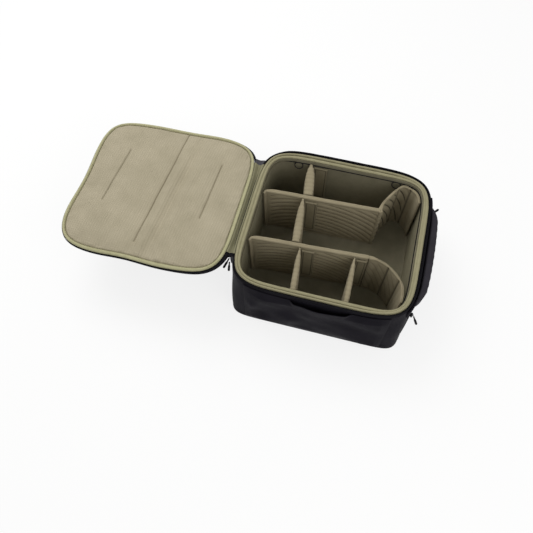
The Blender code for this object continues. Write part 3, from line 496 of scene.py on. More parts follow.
across_door, round_rest = 72, 276
wall_heights = np.concatenate([
    np.linspace(hem_top, door_low, 4, endpoint=False),
    np.linspace(door_low, door_high, 46, endpoint=False),
    np.linspace(door_high, shell_top, 13),
])
wall_turns = np.stack([door_turns(z, 0.0, across_door, round_rest) for z in wall_heights])
wall_places = tub_wall(wall_turns, wall_heights[:, None], 0.0)
wall_normal = np.stack([np.cos(wall_turns), np.sin(wall_turns), np.zeros_like(wall_turns)], axis=-1)
free_of_door = np.clip(np.abs(wall_turns - 0.0) - 0.75, 0.0, 0.25) / 0.25
free_of_edge = np.clip((shell_top - 0.004 - wall_heights) / 0.02, 0, 1) * np.clip(
    (wall_heights - hem_top) / 0.01, 0, 1
)
slack_wall = ripples(wall_places * np.array([1.0, 1.0, 0.6]), (0.075, 0.045), 4)
wall_places = (
    wall_places + wall_normal * (0.0019 * slack_wall * free_of_door * free_of_edge[:, None])[..., None]
)
wall_row = np.arange(len(wall_heights) - 1)[:, None]
wall_column = np.arange(across_door + round_rest)[None, :]
in_door = (wall_column < across_door) & (wall_row >= 4) & (wall_row < 50)
tub_shell = sewn("tub_shell_nylon", wall_places, wrap_columns=True, keep=~in_door, closed=False)
thick(tub_shell, shell_cloth)
dress(tub_shell, nylon, "tub", "black_nylon", "outer_shell")

# Hem strip and bottom: the same nylon folded double and sewn on, so it is stiffer and rounder,
# with a flat panel of it under the tub that a seam 11 mm from the edge holds
hem_turns = np.linspace(0, 2 * math.pi, 288, endpoint=False)
hem_profile = np.array([
    (0.1538, 0.0014), (0.1000, 0.0014), (0.0400, 0.0014), (0.0060, 0.0015), (0.0030, 0.0028),
    (0.0024, 0.0076),
    (0.0009, 0.0080), (0.0002, 0.0074), (0.0, 0.0058), (0.0, 0.0034), (0.0006, 0.0012), (0.0022, 0.0002),
    (0.0060, 0.0),
    (0.0098, 0.0001), (0.0104, 0.0008), (0.0110, 0.0001), (0.0140, 0.0), (0.0260, 0.0), (0.0420, 0.0),
    (0.0600, 0.0),
    (0.0800, 0.0), (0.1000, 0.0), (0.1200, 0.0), (0.1380, 0.0), (0.1538, 0.0),
])
hem_share = (1 - (hem_profile[:, 0] - 0.006) / (shell_half_x - 0.006))[:, None]
hem_rows = tub_wall(hem_turns[None, :], hem_profile[:, 1:2], np.minimum(hem_profile[:, :1], 0.006))
squeeze = np.where(hem_profile[:, :1] > 0.006, hem_share, 1.0)[..., None]
hem_rows = hem_rows * np.concatenate([squeeze, squeeze, np.ones_like(squeeze)], axis=-1)
under = (hem_profile[:, :1] > 0.015) & (np.arange(len(hem_profile))[:, None] > 12)
hem_rows[..., 2] += under * 0.0005 * (1 + ripples(hem_rows, (0.08, 0.045), 11))
hem = sewn("hem_strip_and_bottom", hem_rows, wrap_columns=True, ends="fan")
hem_cloth = cloth(
    "folded_hem_nylon", "#17161A", "#232127", 0.02, 0.0013, 0.0002, 0.5, 0.5, 0.004, "#8C8496", gloss=0.01
)
dress(hem, hem_cloth, "tub", "hem_nylon", "bottom_hem")

# Front pocket: a single panel of the black nylon over the near wall, sewn round three
# sides. Its loose top edge sags away from the wall and makes the hand slit.
pocket_half_width = 0.1215
pocket_low, pocket_high = 0.0102, 0.1334
slit_half_width, slit_centre = 0.051, 0.008
slit_bulge, slit_drop, slit_depth = 0.0062, 0.0062, 0.075
pocket_off_wall = 0.0006
pocket_cloth_depth = 0.0009

pocket_x = np.linspace(-pocket_half_width, pocket_half_width, 190)[None, :]
pocket_share = np.linspace(0, 1, 90)[:, None]
loose = np.clip(1 - ((pocket_x - slit_centre) / slit_half_width) ** 2, 0, None)
pocket_z = pocket_low + (pocket_high - slit_drop * loose - pocket_low) * pocket_share
down = np.clip(1 - (pocket_high - pocket_z) / slit_depth, 0, None)
wall_power = 0.286 / corner_at(pocket_z)
pocket_wall = -shell_half_y * (1 - np.abs(pocket_x / shell_half_x) ** wall_power) ** (1 / wall_power)
pocket_edge = np.clip(np.minimum(pocket_half_width - np.abs(pocket_x), pocket_z - pocket_low) / 0.012, 0, 1)
pocket_points = np.stack(np.broadcast_arrays(pocket_x, pocket_wall, pocket_z), axis=-1)
# Folds that fan down from the slit's left end, and a shallow sag of the whole panel
fold_across = (pocket_x + 0.052) * 0.80 - (pocket_high - pocket_z) * 0.60
fold_along = (pocket_x + 0.052) * 0.60 + (pocket_high - pocket_z) * 0.80
fan = (
    np.sin(fold_across / 0.0085 + 1.2)
    * np.exp(-(fold_across / 0.03) ** 2)
    * np.clip(fold_along / 0.02, 0, 1)
    * np.exp(-fold_along / 0.05)
)
pull_lines = np.sin((pocket_x * 0.9 + (pocket_high - pocket_z) * 0.42) / 0.0065) * np.exp(
    -((pocket_x + 0.085) / 0.03) ** 2
)
long_folds = np.sin(
    ((pocket_x + 0.10) * 0.62 + (pocket_high - pocket_z) * 0.80) / 0.0115 + 1.6 * np.sin(pocket_x / 0.05)
) * np.exp(
    -((pocket_x + 0.07) / 0.055) ** 2
)
low_folds = np.sin(((pocket_x - 0.10) * -0.45 + (pocket_high - pocket_z) * 0.9) / 0.013) * np.exp(
    -((pocket_x - 0.085) / 0.045) ** 2
)
relief = (
    0.0016 * ripples(pocket_points, (0.06, 0.035), 9)
    + 0.0022 * fan
    + 0.0009 * pull_lines
    + 0.0022 * long_folds
    + 0.0016 * low_folds
)
sewn_top = np.clip(np.maximum(3 * loose, (pocket_high - pocket_z) / 0.018), 0, 1)
off = pocket_off_wall + slit_bulge * loose * down ** 2 + pocket_edge * sewn_top * (0.0030 + relief)
pocket_points[..., 1] -= np.broadcast_to(off, pocket_points.shape[:2]) + pocket_cloth_depth
pocket_panel = sewn("front_pocket_panel", pocket_points, closed=False)
thick(pocket_panel, pocket_cloth_depth)
dress(pocket_panel, nylon, "tub", "black_nylon", "front_pocket")

# Lining: olive brushed cloth glued over the foam, one tray with a floor, cut out at the door
lining_inset = 0.0154
floor_z = 0.0138
lining_top = 0.1368
lining_cove = 0.0035
cove = np.linspace(0, math.pi / 2, 5)[1:]
lining_heights = np.concatenate([
    np.linspace(lining_top, door_high, 12, endpoint=False),
    np.linspace(door_high, door_low + 0.0012, 32, endpoint=False),
    floor_z + lining_cove * (1 - np.sin(cove)),
])
lining_insets = np.concatenate([np.full(44, lining_inset), lining_inset + lining_cove * (1 - np.cos(cove))])
lining_turns = np.stack([door_turns(z, lining_inset, across_door, round_rest) for z in lining_heights])
lining_points = tub_wall(lining_turns, lining_heights[:, None], lining_insets[:, None])
inward = -np.stack([np.cos(lining_turns), np.sin(lining_turns), np.zeros_like(lining_turns)], axis=-1)
soft_wall = (
    0.00035
    * ripples(lining_points, (0.05, 0.028), 21)
    * np.clip((lining_top - lining_heights) / 0.02, 0, 1)[:, None]
)
lining_points = lining_points + inward * soft_wall[..., None]
floor_shares = np.array([0.97, 0.9, 0.8, 0.65, 0.48, 0.3, 0.14, 0.004])[:, None, None]
floor_points = lining_points[-1][None] * np.concatenate(
    [floor_shares, floor_shares, np.ones_like(floor_shares)], axis=-1
)
lining_points = np.concatenate([lining_points, floor_points])
lining_row = np.arange(len(lining_points) - 1)[:, None]
lining_hole = (
    (np.arange(across_door + round_rest)[None, :] < across_door) & (lining_row >= 12) & (lining_row < 44)
)
tub_lining = sewn(
    "tub_lining_cloth", lining_points, wrap_columns=True, keep=~lining_hole, ends="pole", closed=False
)
thick(tub_lining, 0.0009)
# Brushed olive lining: a short nap that looks flat and dark, with faint lighter patches
brushed = cloth(
    "brushed_olive_lining", "#6C6753", "#8B8570", 0.018, 0.0016, 0.0002, 1.4, 0.95, 0.15, "#B9B48C"
)
dress(tub_lining, brushed, "tub", "olive_lining", "lining")

# Rim: a piped ridge and a folded inner edge of olive cloth, sewn down with one row of
# stitches each, which pull the ridges in a little at every stitch.
rim_z = 0.1373


def ridge_ring(name, outer, inner, low, high, turns, seed, right_inner, left_inner):
    """A half-round ridge on the rim: across = cos(a), up = sin(a)^0.7 over a flat base, carried round the
    tub.

    Its inner side goes over to right_inner along the right wall and to left_inner along the left
    one. Slow ripples of up to 0.5 mm push it in and out and lower its top.
    """
    swing = np.linspace(0, math.pi, 11)[:, None]
    right = np.clip((np.cos(turns) - 0.45) / 0.35, 0, 1)[None, :]
    left = np.clip((-np.cos(turns) - 0.60) / 0.30, 0, 1)[None, :]
    inner = (
        inner
        + (right_inner - inner) * right * right * (3 - 2 * right)
        + (left_inner - inner) * left * left * (3 - 2 * left)
    )
    flat = tub_wall(turns, low, outer) * np.array([1.0, 1.0, 0.0])
    drift, dip = (
        ripples(flat, (0.055, 0.021), seed + 50)[None, :],
        ripples(flat, (0.045, 0.026), seed + 60)[None, :],
    )
    middle, half = (outer + inner) / 2, (inner - outer) / 2
    rounding = np.sin(swing) ** 0.7
    insets = (
        np.concatenate([middle - half * np.cos(swing), middle + half * 0.6, middle - half * 0.6])
        + 0.00022 * np.clip(drift, -2, 2)
    )
    base = np.full_like(middle, low)
    heights = np.concatenate([low + (high - low - 0.00025 * np.clip(dip + 2, 0, 4)) * rounding, base, base])
    points = tub_wall(turns[None, :], heights, insets)
    pucker = 0.00016 * ripples(points * np.array([1.0, 1.0, 0.0]), (0.012, 0.0075), seed)
    points[:, :, 2] += pucker * (heights > low + 0.001)
    return sewn(name, points, wrap_rows=True, wrap_columns=True)


ring_turns = np.linspace(0, 2 * math.pi, 420, endpoint=False)
# Olive piping cloth: fine ribs across the ridge, paler than the lining
piping_cloth = cloth(
    "olive_piping_cloth",
    "#827D60",
    "#9D9779",
    0.012,
    0.0012,
    0.00018,
    0.7,
    0.88,
    0.1,
    "#D8D6A8",
    seam="#4A4630"
)
# Lid binding cloth: the same piping cloth painted lighter, as a lit copy of it where it lies out on the open
# lid
lit_binding_cloth = cloth(
    "olive_binding_cloth_painted_lit",
    "#97946F",
    "#B7B390",
    0.012,
    0.0012,
    0.00018,
    0.7,
    0.88,
    0.1,
    "#D8D6A8",
    seam="#57523B"
)
rim_ridge = ridge_ring("rim_piped_ridge", 0.0046, 0.0089, rim_z, 0.1424, ring_turns, 31, 0.0116, 0.0108)
dress(rim_ridge, piping_cloth, "tub", "olive_binding", "rim_piping")
rim_inner = ridge_ring("rim_inner_fold", 0.0094, 0.0154, rim_z, 0.1408, ring_turns, 32, 0.0143, 0.0154)
dress(rim_inner, piping_cloth, "tub", "olive_binding", "rim_facing")

# Rim zip: woven tape round three sides with a coil of monofilament sewn on it
zip_far_y, zip_near_y = 0.0980, -0.0880
zip_turn_far = math.pi - turn_at(zip_far_y, rim_z, 0.002)
zip_turn_near = math.pi - turn_at(zip_near_y, rim_z, 0.002)
zip_turns = np.linspace(zip_turn_near - 2 * math.pi, zip_turn_far, 400)
tape_insets = np.array([0.0, -0.0003, -0.0002, 0.0003, 0.0009, 0.0013, 0.0018, 0.0042, 0.0042])
tape_levels = np.array([0.1374, 0.1386, 0.1387, 0.1388, 0.1388, 0.1387, 0.1386, 0.1385, 0.1374])
tape_lifts = np.array([0.0, 0.0, 0.0026, 0.0036, 0.0036, 0.0022, 0.0, 0.0, 0.0])
# The tape stands up along its outer edge, and lies down near its two ends at the hinge
from_ends = np.minimum(zip_turns - zip_turns[0] - 0.33, zip_turns[-1] - zip_turns)
standing = np.clip((from_ends - 0.16) / 0.14, 0, 1) * (
    1 + 0.10 * np.sin(zip_turns * 17.0) * np.sin(zip_turns * 5.3)
)
tape_ring = tub_wall(
    zip_turns[:, None],
    tape_levels[None, :] + tape_lifts[None, :] * np.minimum(standing, 1.0)[:, None],
    tape_insets[None, :]
)
rim_tape = sewn("rim_zip_tape", tape_ring, wrap_columns=True, ends="fan")
# Zip tape: a herringbone of matt polyester yarn, black and a little coarser than the nylon
tape_cloth = cloth(
    "black_zip_tape",
    "#131215",
    "#1F1E22",
    0.01,
    0.0012,
    0.0002,
    0.4,
    0.7,
    0.006,
    "#77747A",
    twill=True,
    gloss=0.02
)
dress(rim_tape, tape_cloth, "tub", "zip_tape", "tub_zip_tape")


def coil_teeth(name, centres, ways, out, width):
    """One small rounded bar for each turn of the coil: the same eight-sided bar set at each centre.

    ways is the direction of the run there and out the direction away from the tape.
    """
    side = np.cross(out, ways)
    swing = np.linspace(0, 2 * math.pi, 6, endpoint=False)
    ring = np.stack([0.00042 * np.cos(swing), 0.00072 * np.sin(swing)], axis=1)
    spots = np.array([-0.5, -0.36, 0.36, 0.5]) * width
    fat = np.array([0.35, 1.0, 1.0, 0.35])
    local = [(ring[:, :1] * f, np.full((6, 1), s), ring[:, 1:] * f) for s, f in zip(spots, fat)]
    local = np.concatenate([np.concatenate(part, axis=1) for part in local])
    corners = (
        centres[:, None]
        + local[None, :, :1] * ways[:, None]
        + local[None, :, 1:2] * side[:, None]
        + local[None, :, 2:] * out[:, None]
    )
    k = np.arange(6)
    rings = [
        np.stack([k + 6 * r, (k + 1) % 6 + 6 * r, (k + 1) % 6 + 6 * r + 6, k + 6 * r + 6], axis=1)
        for r in range(3)
    ]
    caps = [[0, 1, 2, 3], [0, 3, 4, 5], [21, 20, 19, 18], [23, 22, 21, 18]]
    faces = np.concatenate([*rings, np.array(caps)])
    faces = (faces[None] + 24 * np.arange(len(centres))[:, None, None]).reshape(-1, 4)
    mesh = bpy.data.meshes.new(name)
    mesh.vertices.add(len(corners) * 24)
    mesh.vertices.foreach_set("co", corners.astype(np.float32).reshape(-1))
    mesh.loops.add(faces.size)
    a, b, c = (corners[0][faces[0, n]] for n in (0, 1, 2))
    outward = np.dot(np.cross(b - a, c - a), a - centres[0]) > 0
    faces = faces if outward else faces[:, ::-1]
    mesh.loops.foreach_set("vertex_index", faces.astype(np.int32).reshape(-1))
    mesh.polygons.add(len(faces))
    mesh.polygons.foreach_set("loop_start", np.arange(len(faces), dtype=np.int32) * 4)
    mesh.polygons.foreach_set("loop_total", np.full(len(faces), 4, np.int32))
    mesh.update(calc_edges=True)
    mesh.validate()
    piece = bpy.data.objects.new(name, mesh)
    bpy.context.scene.collection.objects.link(piece)
    return piece


def even_run(points, pitch):
    """Points at an even pitch along a line, with the direction of the run at each."""
    steps = np.linalg.norm(np.diff(points, axis=0), axis=1)
    run = np.concatenate([[0.0], np.cumsum(steps)])
    at = np.arange(pitch / 2, run[-1], pitch)
    even = np.stack([np.interp(at, run, points[:, n]) for n in range(3)], axis=1)
    ways = np.gradient(even, axis=0)
    return even, ways / np.linalg.norm(ways, axis=1)[:, None]


def plain(name, tone, roughness, metallic=0.0, grain=0.0006, depth=0.00005, second=None, gloss=0.5):
    """A moulded or cast finish: one tone with faint clouds, over a fine grain in the bump."""
    material = bpy.data.materials.new(name)
    material.use_nodes = True
    tree = material.node_tree
    shader = tree.nodes["Principled BSDF"]
    solid = add(tree, "ShaderNodeTexCoord").outputs["Object"]
    clouds = mottle(tree, solid, 0.006, 3.0)
    tree.links.new(blended(tree, clouds, linear(tone), linear(second or tone)), shader.inputs["Base Color"])
    bump = add(
        tree,
        "ShaderNodeBump",
        {"Height": mottle(tree, solid, grain, 2.0), "Strength": 0.4, "Distance": depth}
    )
    tree.links.new(bump.outputs[0], shader.inputs["Normal"])
    shader.inputs["Roughness"].default_value = roughness
    shader.inputs["Metallic"].default_value = metallic
    shader.inputs["Specular IOR Level"].default_value = gloss
    return material


coil_pitch = 0.0016
coil_line = tub_wall(zip_turns, 0.1394 + 0.0022 * np.minimum(standing, 1.0), 0.0016)
coil_centres, coil_ways = even_run(coil_line, coil_pitch)
rim_coil = coil_teeth(
    "rim_zip_coil", coil_centres, coil_ways, np.tile([0.0, 0.0, 1.0], (len(coil_centres), 1)), 0.0018
)
# Nylon monofilament: smooth black with a hard small highlight on every turn
coil_plastic = plain("zip_coil_monofilament", "#0F0E10", 0.4, second="#19181A", gloss=0.1)
dress(rim_coil, coil_plastic, "tub", "zip_coil", "tub_zip_coil")


# Cord line: a thin dark cord couched to the lining under the rim, with two loops of it
# hanging on the far wall.
def rope(name, points, radii, sides=10, closed=False):
    """A tube: a circle of the given radii carried along the points, square to the run."""
    ways = np.roll(points, -1, axis=0) - np.roll(points, 1, axis=0) if closed else np.gradient(points, axis=0)
    ways /= np.linalg.norm(ways, axis=1)[:, None]
    hint = np.array([0.0, 0.0, 1.0]) if np.abs(ways[:, 2]).mean() < 0.8 else np.array([1.0, 0.0, 0.0])
    first = np.cross(ways, hint)
    first /= np.linalg.norm(first, axis=1)[:, None]
    second = np.cross(ways, first)
    swing = np.linspace(0, 2 * math.pi, sides, endpoint=False)
    radii = np.broadcast_to(radii, len(points))[:, None, None]
    rings = (
        points[:, None]
        + radii * (
            np.cos(swing)[None, :, None] * first[:, None] + np.sin(swing)[None, :, None] * second[:, None]
        )
    )
    return sewn(name, rings, wrap_rows=closed, wrap_columns=True, ends=None if closed else "fan")


# Braided cord: short slanted strands, near black
braid = cloth(
    "black_braided_cord",
    "#100F10",
    "#242225",
    0.004,
    0.0009,
    0.0002,
    0.3,
    0.7,
    0.02,
    twill=True,
    seam="#6A6450",
    gloss=0.06
)
cord_line = rope("lining_cord", tub_wall(ring_turns, 0.1293, lining_inset + 0.0011), 0.0008, 8, True)
# On the left wall the cord runs inside the lining's seam, so the lining's colour covers it there
cord_x = tub_wall(ring_turns, 0.1293, lining_inset + 0.0011)[:, 0]
shaded(cord_line, np.repeat(np.clip((-0.105 - cord_x) / 0.012, 0, 1), 8))
dress(cord_line, braid, "tub", "black_cord", "lining_cord_line")
loop_swing = np.radians(np.linspace(90 + 38, 450 - 38, 48))
for loop_side, loop_x in (("left", -0.0890), ("right", 0.0890)):
    loop_z = 0.1236 + 0.0075 * np.sin(loop_swing)
    loop_out = loop_x + 0.0075 * np.cos(loop_swing)
    power = 0.286 / (corner_at(loop_z) - 0.0165)
    loop_y = (
        (shell_half_y - 0.0165) * (1 - np.abs(loop_out / (shell_half_x - 0.0165)) ** power) ** (1 / power)
    )
    loop_y = loop_y - 0.25 * (loop_z.max() - loop_z)
    loop = rope(f"cord_loop_{loop_side}_braid", np.stack([loop_out, loop_y, loop_z], axis=1), 0.00078, 8)
    dress(loop, braid, "tub", "black_cord", f"cord_loop_{loop_side}")

# Side door: a cut-out of the right wall with its own foam and lining, between two zip
# legs and a zip across its top. A cloth strip hinges its lower edge.
leaf_far_y, leaf_near_y = 0.0875, -0.0995
leaf_low, leaf_high = 0.0153, 0.1062


def door_sheet(name, inset, depth, relief, seed, inner):
    """The part of the wall's surface that the door covers, with its edges turned in by the sheet's
    thickness."""
    heights = np.linspace(leaf_low, leaf_high, 60)[:, None]
    ys = np.linspace(leaf_near_y, leaf_far_y, 110)[None, :]
    power = 0.286 / (corner_at(heights) - inset)
    x = (shell_half_x - inset) * (1 - np.abs(ys / (shell_half_y - inset)) ** power) ** (1 / power)
    points = np.stack(np.broadcast_arrays(x, ys, heights), axis=-1)
    near_edge = np.minimum(
        np.minimum(ys - leaf_near_y, leaf_far_y - ys), np.minimum(heights - leaf_low, leaf_high - heights)
    )
    sign = -1.0 if inner else 1.0
    points[..., 0] += sign * relief * (ripples(points, (0.06, 0.035), seed) - 0.6) * np.clip(
        near_edge / 0.01, 0, 1
    )
    sheet = sewn(name, points, closed=False, flip=inner)
    thick(sheet, depth)
    return sheet


door_shell = door_sheet("door_shell_nylon", 0.0002, 0.0011, 0.0008, 41, False)
dress(door_shell, nylon, "side_door", "black_nylon", "side_door_shell")
door_lining = door_sheet("door_lining_cloth", 0.0153, 0.0010, 0.0003, 42, True)
dress(door_lining, brushed, "side_door", "olive_lining", "side_door_lining")
# Door foam stays as the CAD solid: closed-cell board, seen only at its cut edges
board_foam = plain("closed_cell_foam", "#3A3A3C", 0.9, grain=0.0012, depth=0.0002, second="#4A4A4D")
for node in ("side_door_foam", "foam_right", "foam_far", "foam_left", "foam_near", "floor_foam"):
    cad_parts[node].data.materials.clear()
    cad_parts[node].data.materials.append(board_foam)
# Stiffener: a pressed sheet of polyethylene with a fine grain
pressed_sheet = plain("pressed_polyethylene", "#2B2B2D", 0.55, grain=0.0009, depth=0.00006, second="#343437")
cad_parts["stiffener_board"].data.materials.clear()
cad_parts["stiffener_board"].data.materials.append(pressed_sheet)

# Door zip: tape frames on the wall and on the door, the coil between them up both legs
# and across the top, with a slider at the top of each leg.
frame_far, frame_near, frame_top = 0.0970, -0.1090, 0.1170
door_tape_band = 0.0088


def wall_face(y, z, out):
    """The right wall at y and z, moved out."""
    power = 0.286 / (corner_at(z) + out)
    x = (shell_half_x + out) * (1 - np.abs(y / (shell_half_y + out)) ** power) ** (1 / power)
    return np.stack(np.broadcast_arrays(x, y, z), axis=-1)


def arch_line(far, near, low, top, corner):
    """Up the near leg, across the top with rounded corners, and down the far leg, as y and z."""
    swing = np.linspace(0, math.pi / 2, 9)
    rise = np.linspace(low, top - corner, 70, endpoint=False)
    span = np.linspace(near + corner, far - corner, 130)
    y = np.concatenate(
        [
            np.full(70, near),
            near + corner - corner * np.cos(swing),
            span[1:-1],
            far - corner + corner * np.sin(swing),
            np.full(70, far)
        ]
    )
    z = np.concatenate(
        [
            rise,
            top - corner + corner * np.sin(swing),
            np.full(128, top),
            top - corner + corner * np.cos(swing),
            rise[::-1]
        ]
    )
    return y, z


def flat_band(name, outer, inner, low_out, high_out):
    """A flat tape between two arch lines, with rounded edges, lying on the wall."""
    shares = np.array([0.0, 0.0, 0.12, 0.5, 0.88, 1.0, 1.0, 0.5])
    lifts = np.array([0.0, 0.7, 1.0, 1.0, 1.0, 0.7, 0.0, 0.0])
    y = outer[0][:, None] * (1 - shares) + inner[0][:, None] * shares
    z = outer[1][:, None] * (1 - shares) + inner[1][:, None] * shares
    return sewn(name, wall_face(y, z, low_out + (high_out - low_out) * lifts), wrap_columns=True, ends="fan")


frame_outer = arch_line(frame_far, frame_near, 0.0150, frame_top, 0.004)
frame_inner = arch_line(0.0885, -0.1005, 0.0150, 0.1086, 0.0008)
door_frame_tape = flat_band("door_frame_zip_tape", frame_outer, frame_inner, -0.0022, 0.0015)
dress(door_frame_tape, tape_cloth, "tub", "zip_tape", "side_zip_frame")
leaf_outer = arch_line(leaf_far_y, leaf_near_y, leaf_low, leaf_high, 0.0008)
leaf_inner = arch_line(
    leaf_far_y - door_tape_band, leaf_near_y + door_tape_band, leaf_low, leaf_high - door_tape_band, 0.0008
)
door_leaf_tape = flat_band("door_leaf_zip_tape", leaf_outer, leaf_inner, -0.0012, 0.0015)
dress(door_leaf_tape, tape_cloth, "side_door", "zip_tape", "side_door_zip_tape")
coil_y, coil_z = arch_line(0.0897, -0.1017, 0.0158, 0.1097, 0.0010)
leg_line = wall_face(coil_y, coil_z, 0.0024)
leg_centres, leg_ways = even_run(leg_line, coil_pitch)
leg_out = np.stack(
    [np.ones(len(leg_centres)), np.zeros(len(leg_centres)), np.zeros(len(leg_centres))], axis=1
)
leg_out -= leg_ways * np.sum(leg_out * leg_ways, axis=1)[:, None]
leg_out /= np.linalg.norm(leg_out, axis=1)[:, None]
door_coil = coil_teeth("door_zip_coil", leg_centres, leg_ways, leg_out, 0.0020)
dress(door_coil, coil_plastic, "tub", "zip_coil", "side_zip_coil")

# Door hinge strip: doubled nylon sewn to the wall below and to the door above
strip_y = np.linspace(0.0783, -0.0903, 60)[:, None]
strip_z = np.array([0.0084, 0.0100, 0.0146, 0.0190, 0.0207])[None, :]
strip_swell = np.array([0.0005, 0.0009, 0.0009, 0.0009, 0.0005])
strip_front = wall_face(strip_y, strip_z, strip_swell)
strip_back = wall_face(strip_y, strip_z[:, ::-1], 0.0003)
hinge_strip = sewn(
    "door_hinge_strip_cloth",
    np.concatenate([strip_front, strip_back], axis=1),
    wrap_columns=True,
    ends="ladder"
)
dress(hinge_strip, hem_cloth, None, "hem_nylon", "side_door_hinge_strip")
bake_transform(hinge_strip)


# Zip sliders: small cast bodies, wider at the mouth, with a bridge over the top that
# holds the cord pull. Each pull is a short braided cord with a moulded end.
def slider_body(name, centre, along, out, length, width, height):
    """A cast slider: sections along its length, each a flattened ring; its width narrows to the tail.

    The ring is a superellipse of power 3; half-widths are 1 at the mouth, 0.72 at the tail.
    """
    side = np.cross(out, along)
    run = np.array([-0.5, -0.47, -0.38, -0.2, 0.0, 0.2, 0.38, 0.47, 0.5])
    spread = np.array([0.55, 0.78, 0.9, 0.98, 0.9, 0.80, 0.76, 0.66, 0.4])
    fat = np.array([0.45, 0.78, 1.0, 1.0, 1.0, 1.0, 1.0, 0.78, 0.45])
    swing = np.linspace(0, 2 * math.pi, 24, endpoint=False)
    ring_side = np.sign(np.cos(swing)) * np.abs(np.cos(swing)) ** (2 / 3)
    ring_out = np.sign(np.sin(swing)) * np.abs(np.sin(swing)) ** (2 / 3)
    sides = 0.5 * width * spread[:, None] * ring_side
    outs = 0.5 * height * fat[:, None] * ring_out
    points = centre + run[:, None, None] * length * along + sides[..., None] * side + outs[..., None] * out
    return sewn(name, points, wrap_columns=True, ends="fan")


def bridge(name, centre, along, out, length, rise, radius):
    """The arch over a slider: half an ellipse along its length."""
    swing = np.linspace(0, math.pi, 17)
    line = centre + 0.5 * length * np.cos(swing)[:, None] * along + rise * np.sin(swing)[:, None] * out
    return rope(name, line, radius, 8)


def pull(name, start, along, length):
    """A cord pull: a thin cord that sags a little, then swells into a moulded end."""
    along = np.array(along) / np.linalg.norm(along)
    share = np.linspace(0, 1, 40)
    points = np.array(start) + along * length * share[:, None]
    radii = np.interp(
        share,
        [0, 0.03, 0.1, 0.32, 0.38, 0.46, 0.9, 0.97, 1],
        [0.0005, 0.0011, 0.0012, 0.0012, 0.0015, 0.0019, 0.0020, 0.0016, 0.0007]
    )
    radii = radii + 0.00005 * np.sin(share * length / 0.0006) * (share < 0.35)
    return rope(name, points, radii, 14)


# Slider metal: dark grey lacquer on zinc, worn a little brighter in clouds
slider_metal = plain("lacquered_zinc", "#141416", 0.5, 0.05, grain=0.0004, second="#232326", gloss=0.12)
rubber_end = plain("moulded_pull_rubber", "#0B0A0C", 0.6, second="#131214", gloss=0.04)
for side, lean in (("far", 0.0206), ("near", 0.04177)):
    low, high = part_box(f"side_zip_slider_{side}")
    middle = np.array((low + high) / 2)
    up_leg = np.array([-math.sin(lean), 0.0, math.cos(lean)])
    out_leg = np.array([math.cos(lean), 0.0, math.sin(lean)])
    body = slider_body(
        f"door_slider_{side}_body", middle - out_leg * 0.0010, up_leg, out_leg, 0.0099, 0.0066, 0.0039
    )
    dress(body, slider_metal, f"side_slider_{side}", "slider_metal", f"side_zip_slider_{side}")
    arch = bridge(
        f"door_slider_{side}_bridge", middle + out_leg * 0.0006, up_leg, out_leg, 0.0056, 0.0013, 0.0005
    )
    dress(arch, slider_metal, f"side_slider_{side}", "slider_metal")
pull_far_start = np.array([0.160141, 0.0925, 0.098])
pull_near_start = np.array([0.158062, -0.1045, 0.098])
for side, start, along, length in (
    ("far", pull_far_start, (0.42, 0.10, 0.90), 0.019),
    ("near", pull_near_start, (0.45, -0.25, -0.86), 0.021),
):
    along = np.array(along) / np.linalg.norm(along)
    cord_pull = pull(f"door_pull_{side}_cord", start + along * 0.0029, along, length)
    dress(cord_pull, rubber_end, f"side_pull_{side}", "black_cord", f"side_zip_pull_{side}")

# Grab handle: a padded strip of nylon with three ribs, sewn down at both ends under
# doubled patches, bowed out from the wall so that fingers go behind it.
handle_far, handle_near = 0.0830, -0.0970
handle_low, handle_high = 0.1118, 0.1359
handle_thickness, handle_rib, handle_bow = 0.0080, 0.0012, 0.0055


def handle_inner(y):
    """The plan line of the handle's inner face: the wall, plus a bow of sin(pi * span)^0.6."""
    span = np.clip((y - handle_near) / (handle_far - handle_near), 0, 1)
    wall = wall_face(y, np.full_like(y, handle_low), 0.0)[..., 0]
    return wall + 0.0018 + handle_bow * np.sin(math.pi * span) ** 0.6


handle_y = np.concatenate([
    np.linspace(handle_far - 0.0002, handle_far - 0.003, 4, endpoint=False),
    np.linspace(handle_far - 0.003, handle_near + 0.003, 110, endpoint=False),
    np.linspace(handle_near + 0.003, handle_near + 0.0002, 4),
])
rib_place = np.linspace(0, 1, 46)
ribs = np.abs(np.sin(math.pi * 3 * rib_place)) ** 0.6
edge_round = np.clip(np.minimum(rib_place, 1 - rib_place) / 0.06, 0, 1) ** 0.5
outer_depth = (0.0022 + (handle_thickness - 0.0022) * edge_round) + handle_rib * ribs * edge_round
inner_depth = 0.0006 * (1 - edge_round) - 0.0045 * np.sin(math.pi * rib_place) ** 0.35
handle_x = handle_inner(handle_y)[:, None]
end_thin = np.clip(np.minimum(handle_far - handle_y, handle_y - handle_near) / 0.022, 0.04, 1)[:, None] ** 0.5
rib_ripple = 0.00025 * np.sin(handle_y / 0.0021)[:, None] * (ribs * edge_round)[None, :]
outer_x = handle_x + (outer_depth[None, :] + rib_ripple) * end_thin
bowed = np.sin(math.pi * np.clip((handle_y - handle_near) / (handle_far - handle_near), 0, 1))[:, None] ** 0.6
inner_x = handle_x + inner_depth[None, ::-1] * np.maximum(bowed, 0.65)
heights = handle_low + (handle_high - handle_low) * rib_place
handle_points = np.stack([
    np.concatenate([outer_x, inner_x + np.zeros_like(outer_x)], axis=1),
    np.broadcast_to(handle_y[:, None], (len(handle_y), 92)),
    np.broadcast_to(np.concatenate([heights, heights[::-1]]), (len(handle_y), 92)),
], axis=-1)
handle = sewn("grab_handle_padding", handle_points, wrap_columns=True, ends="ladder")
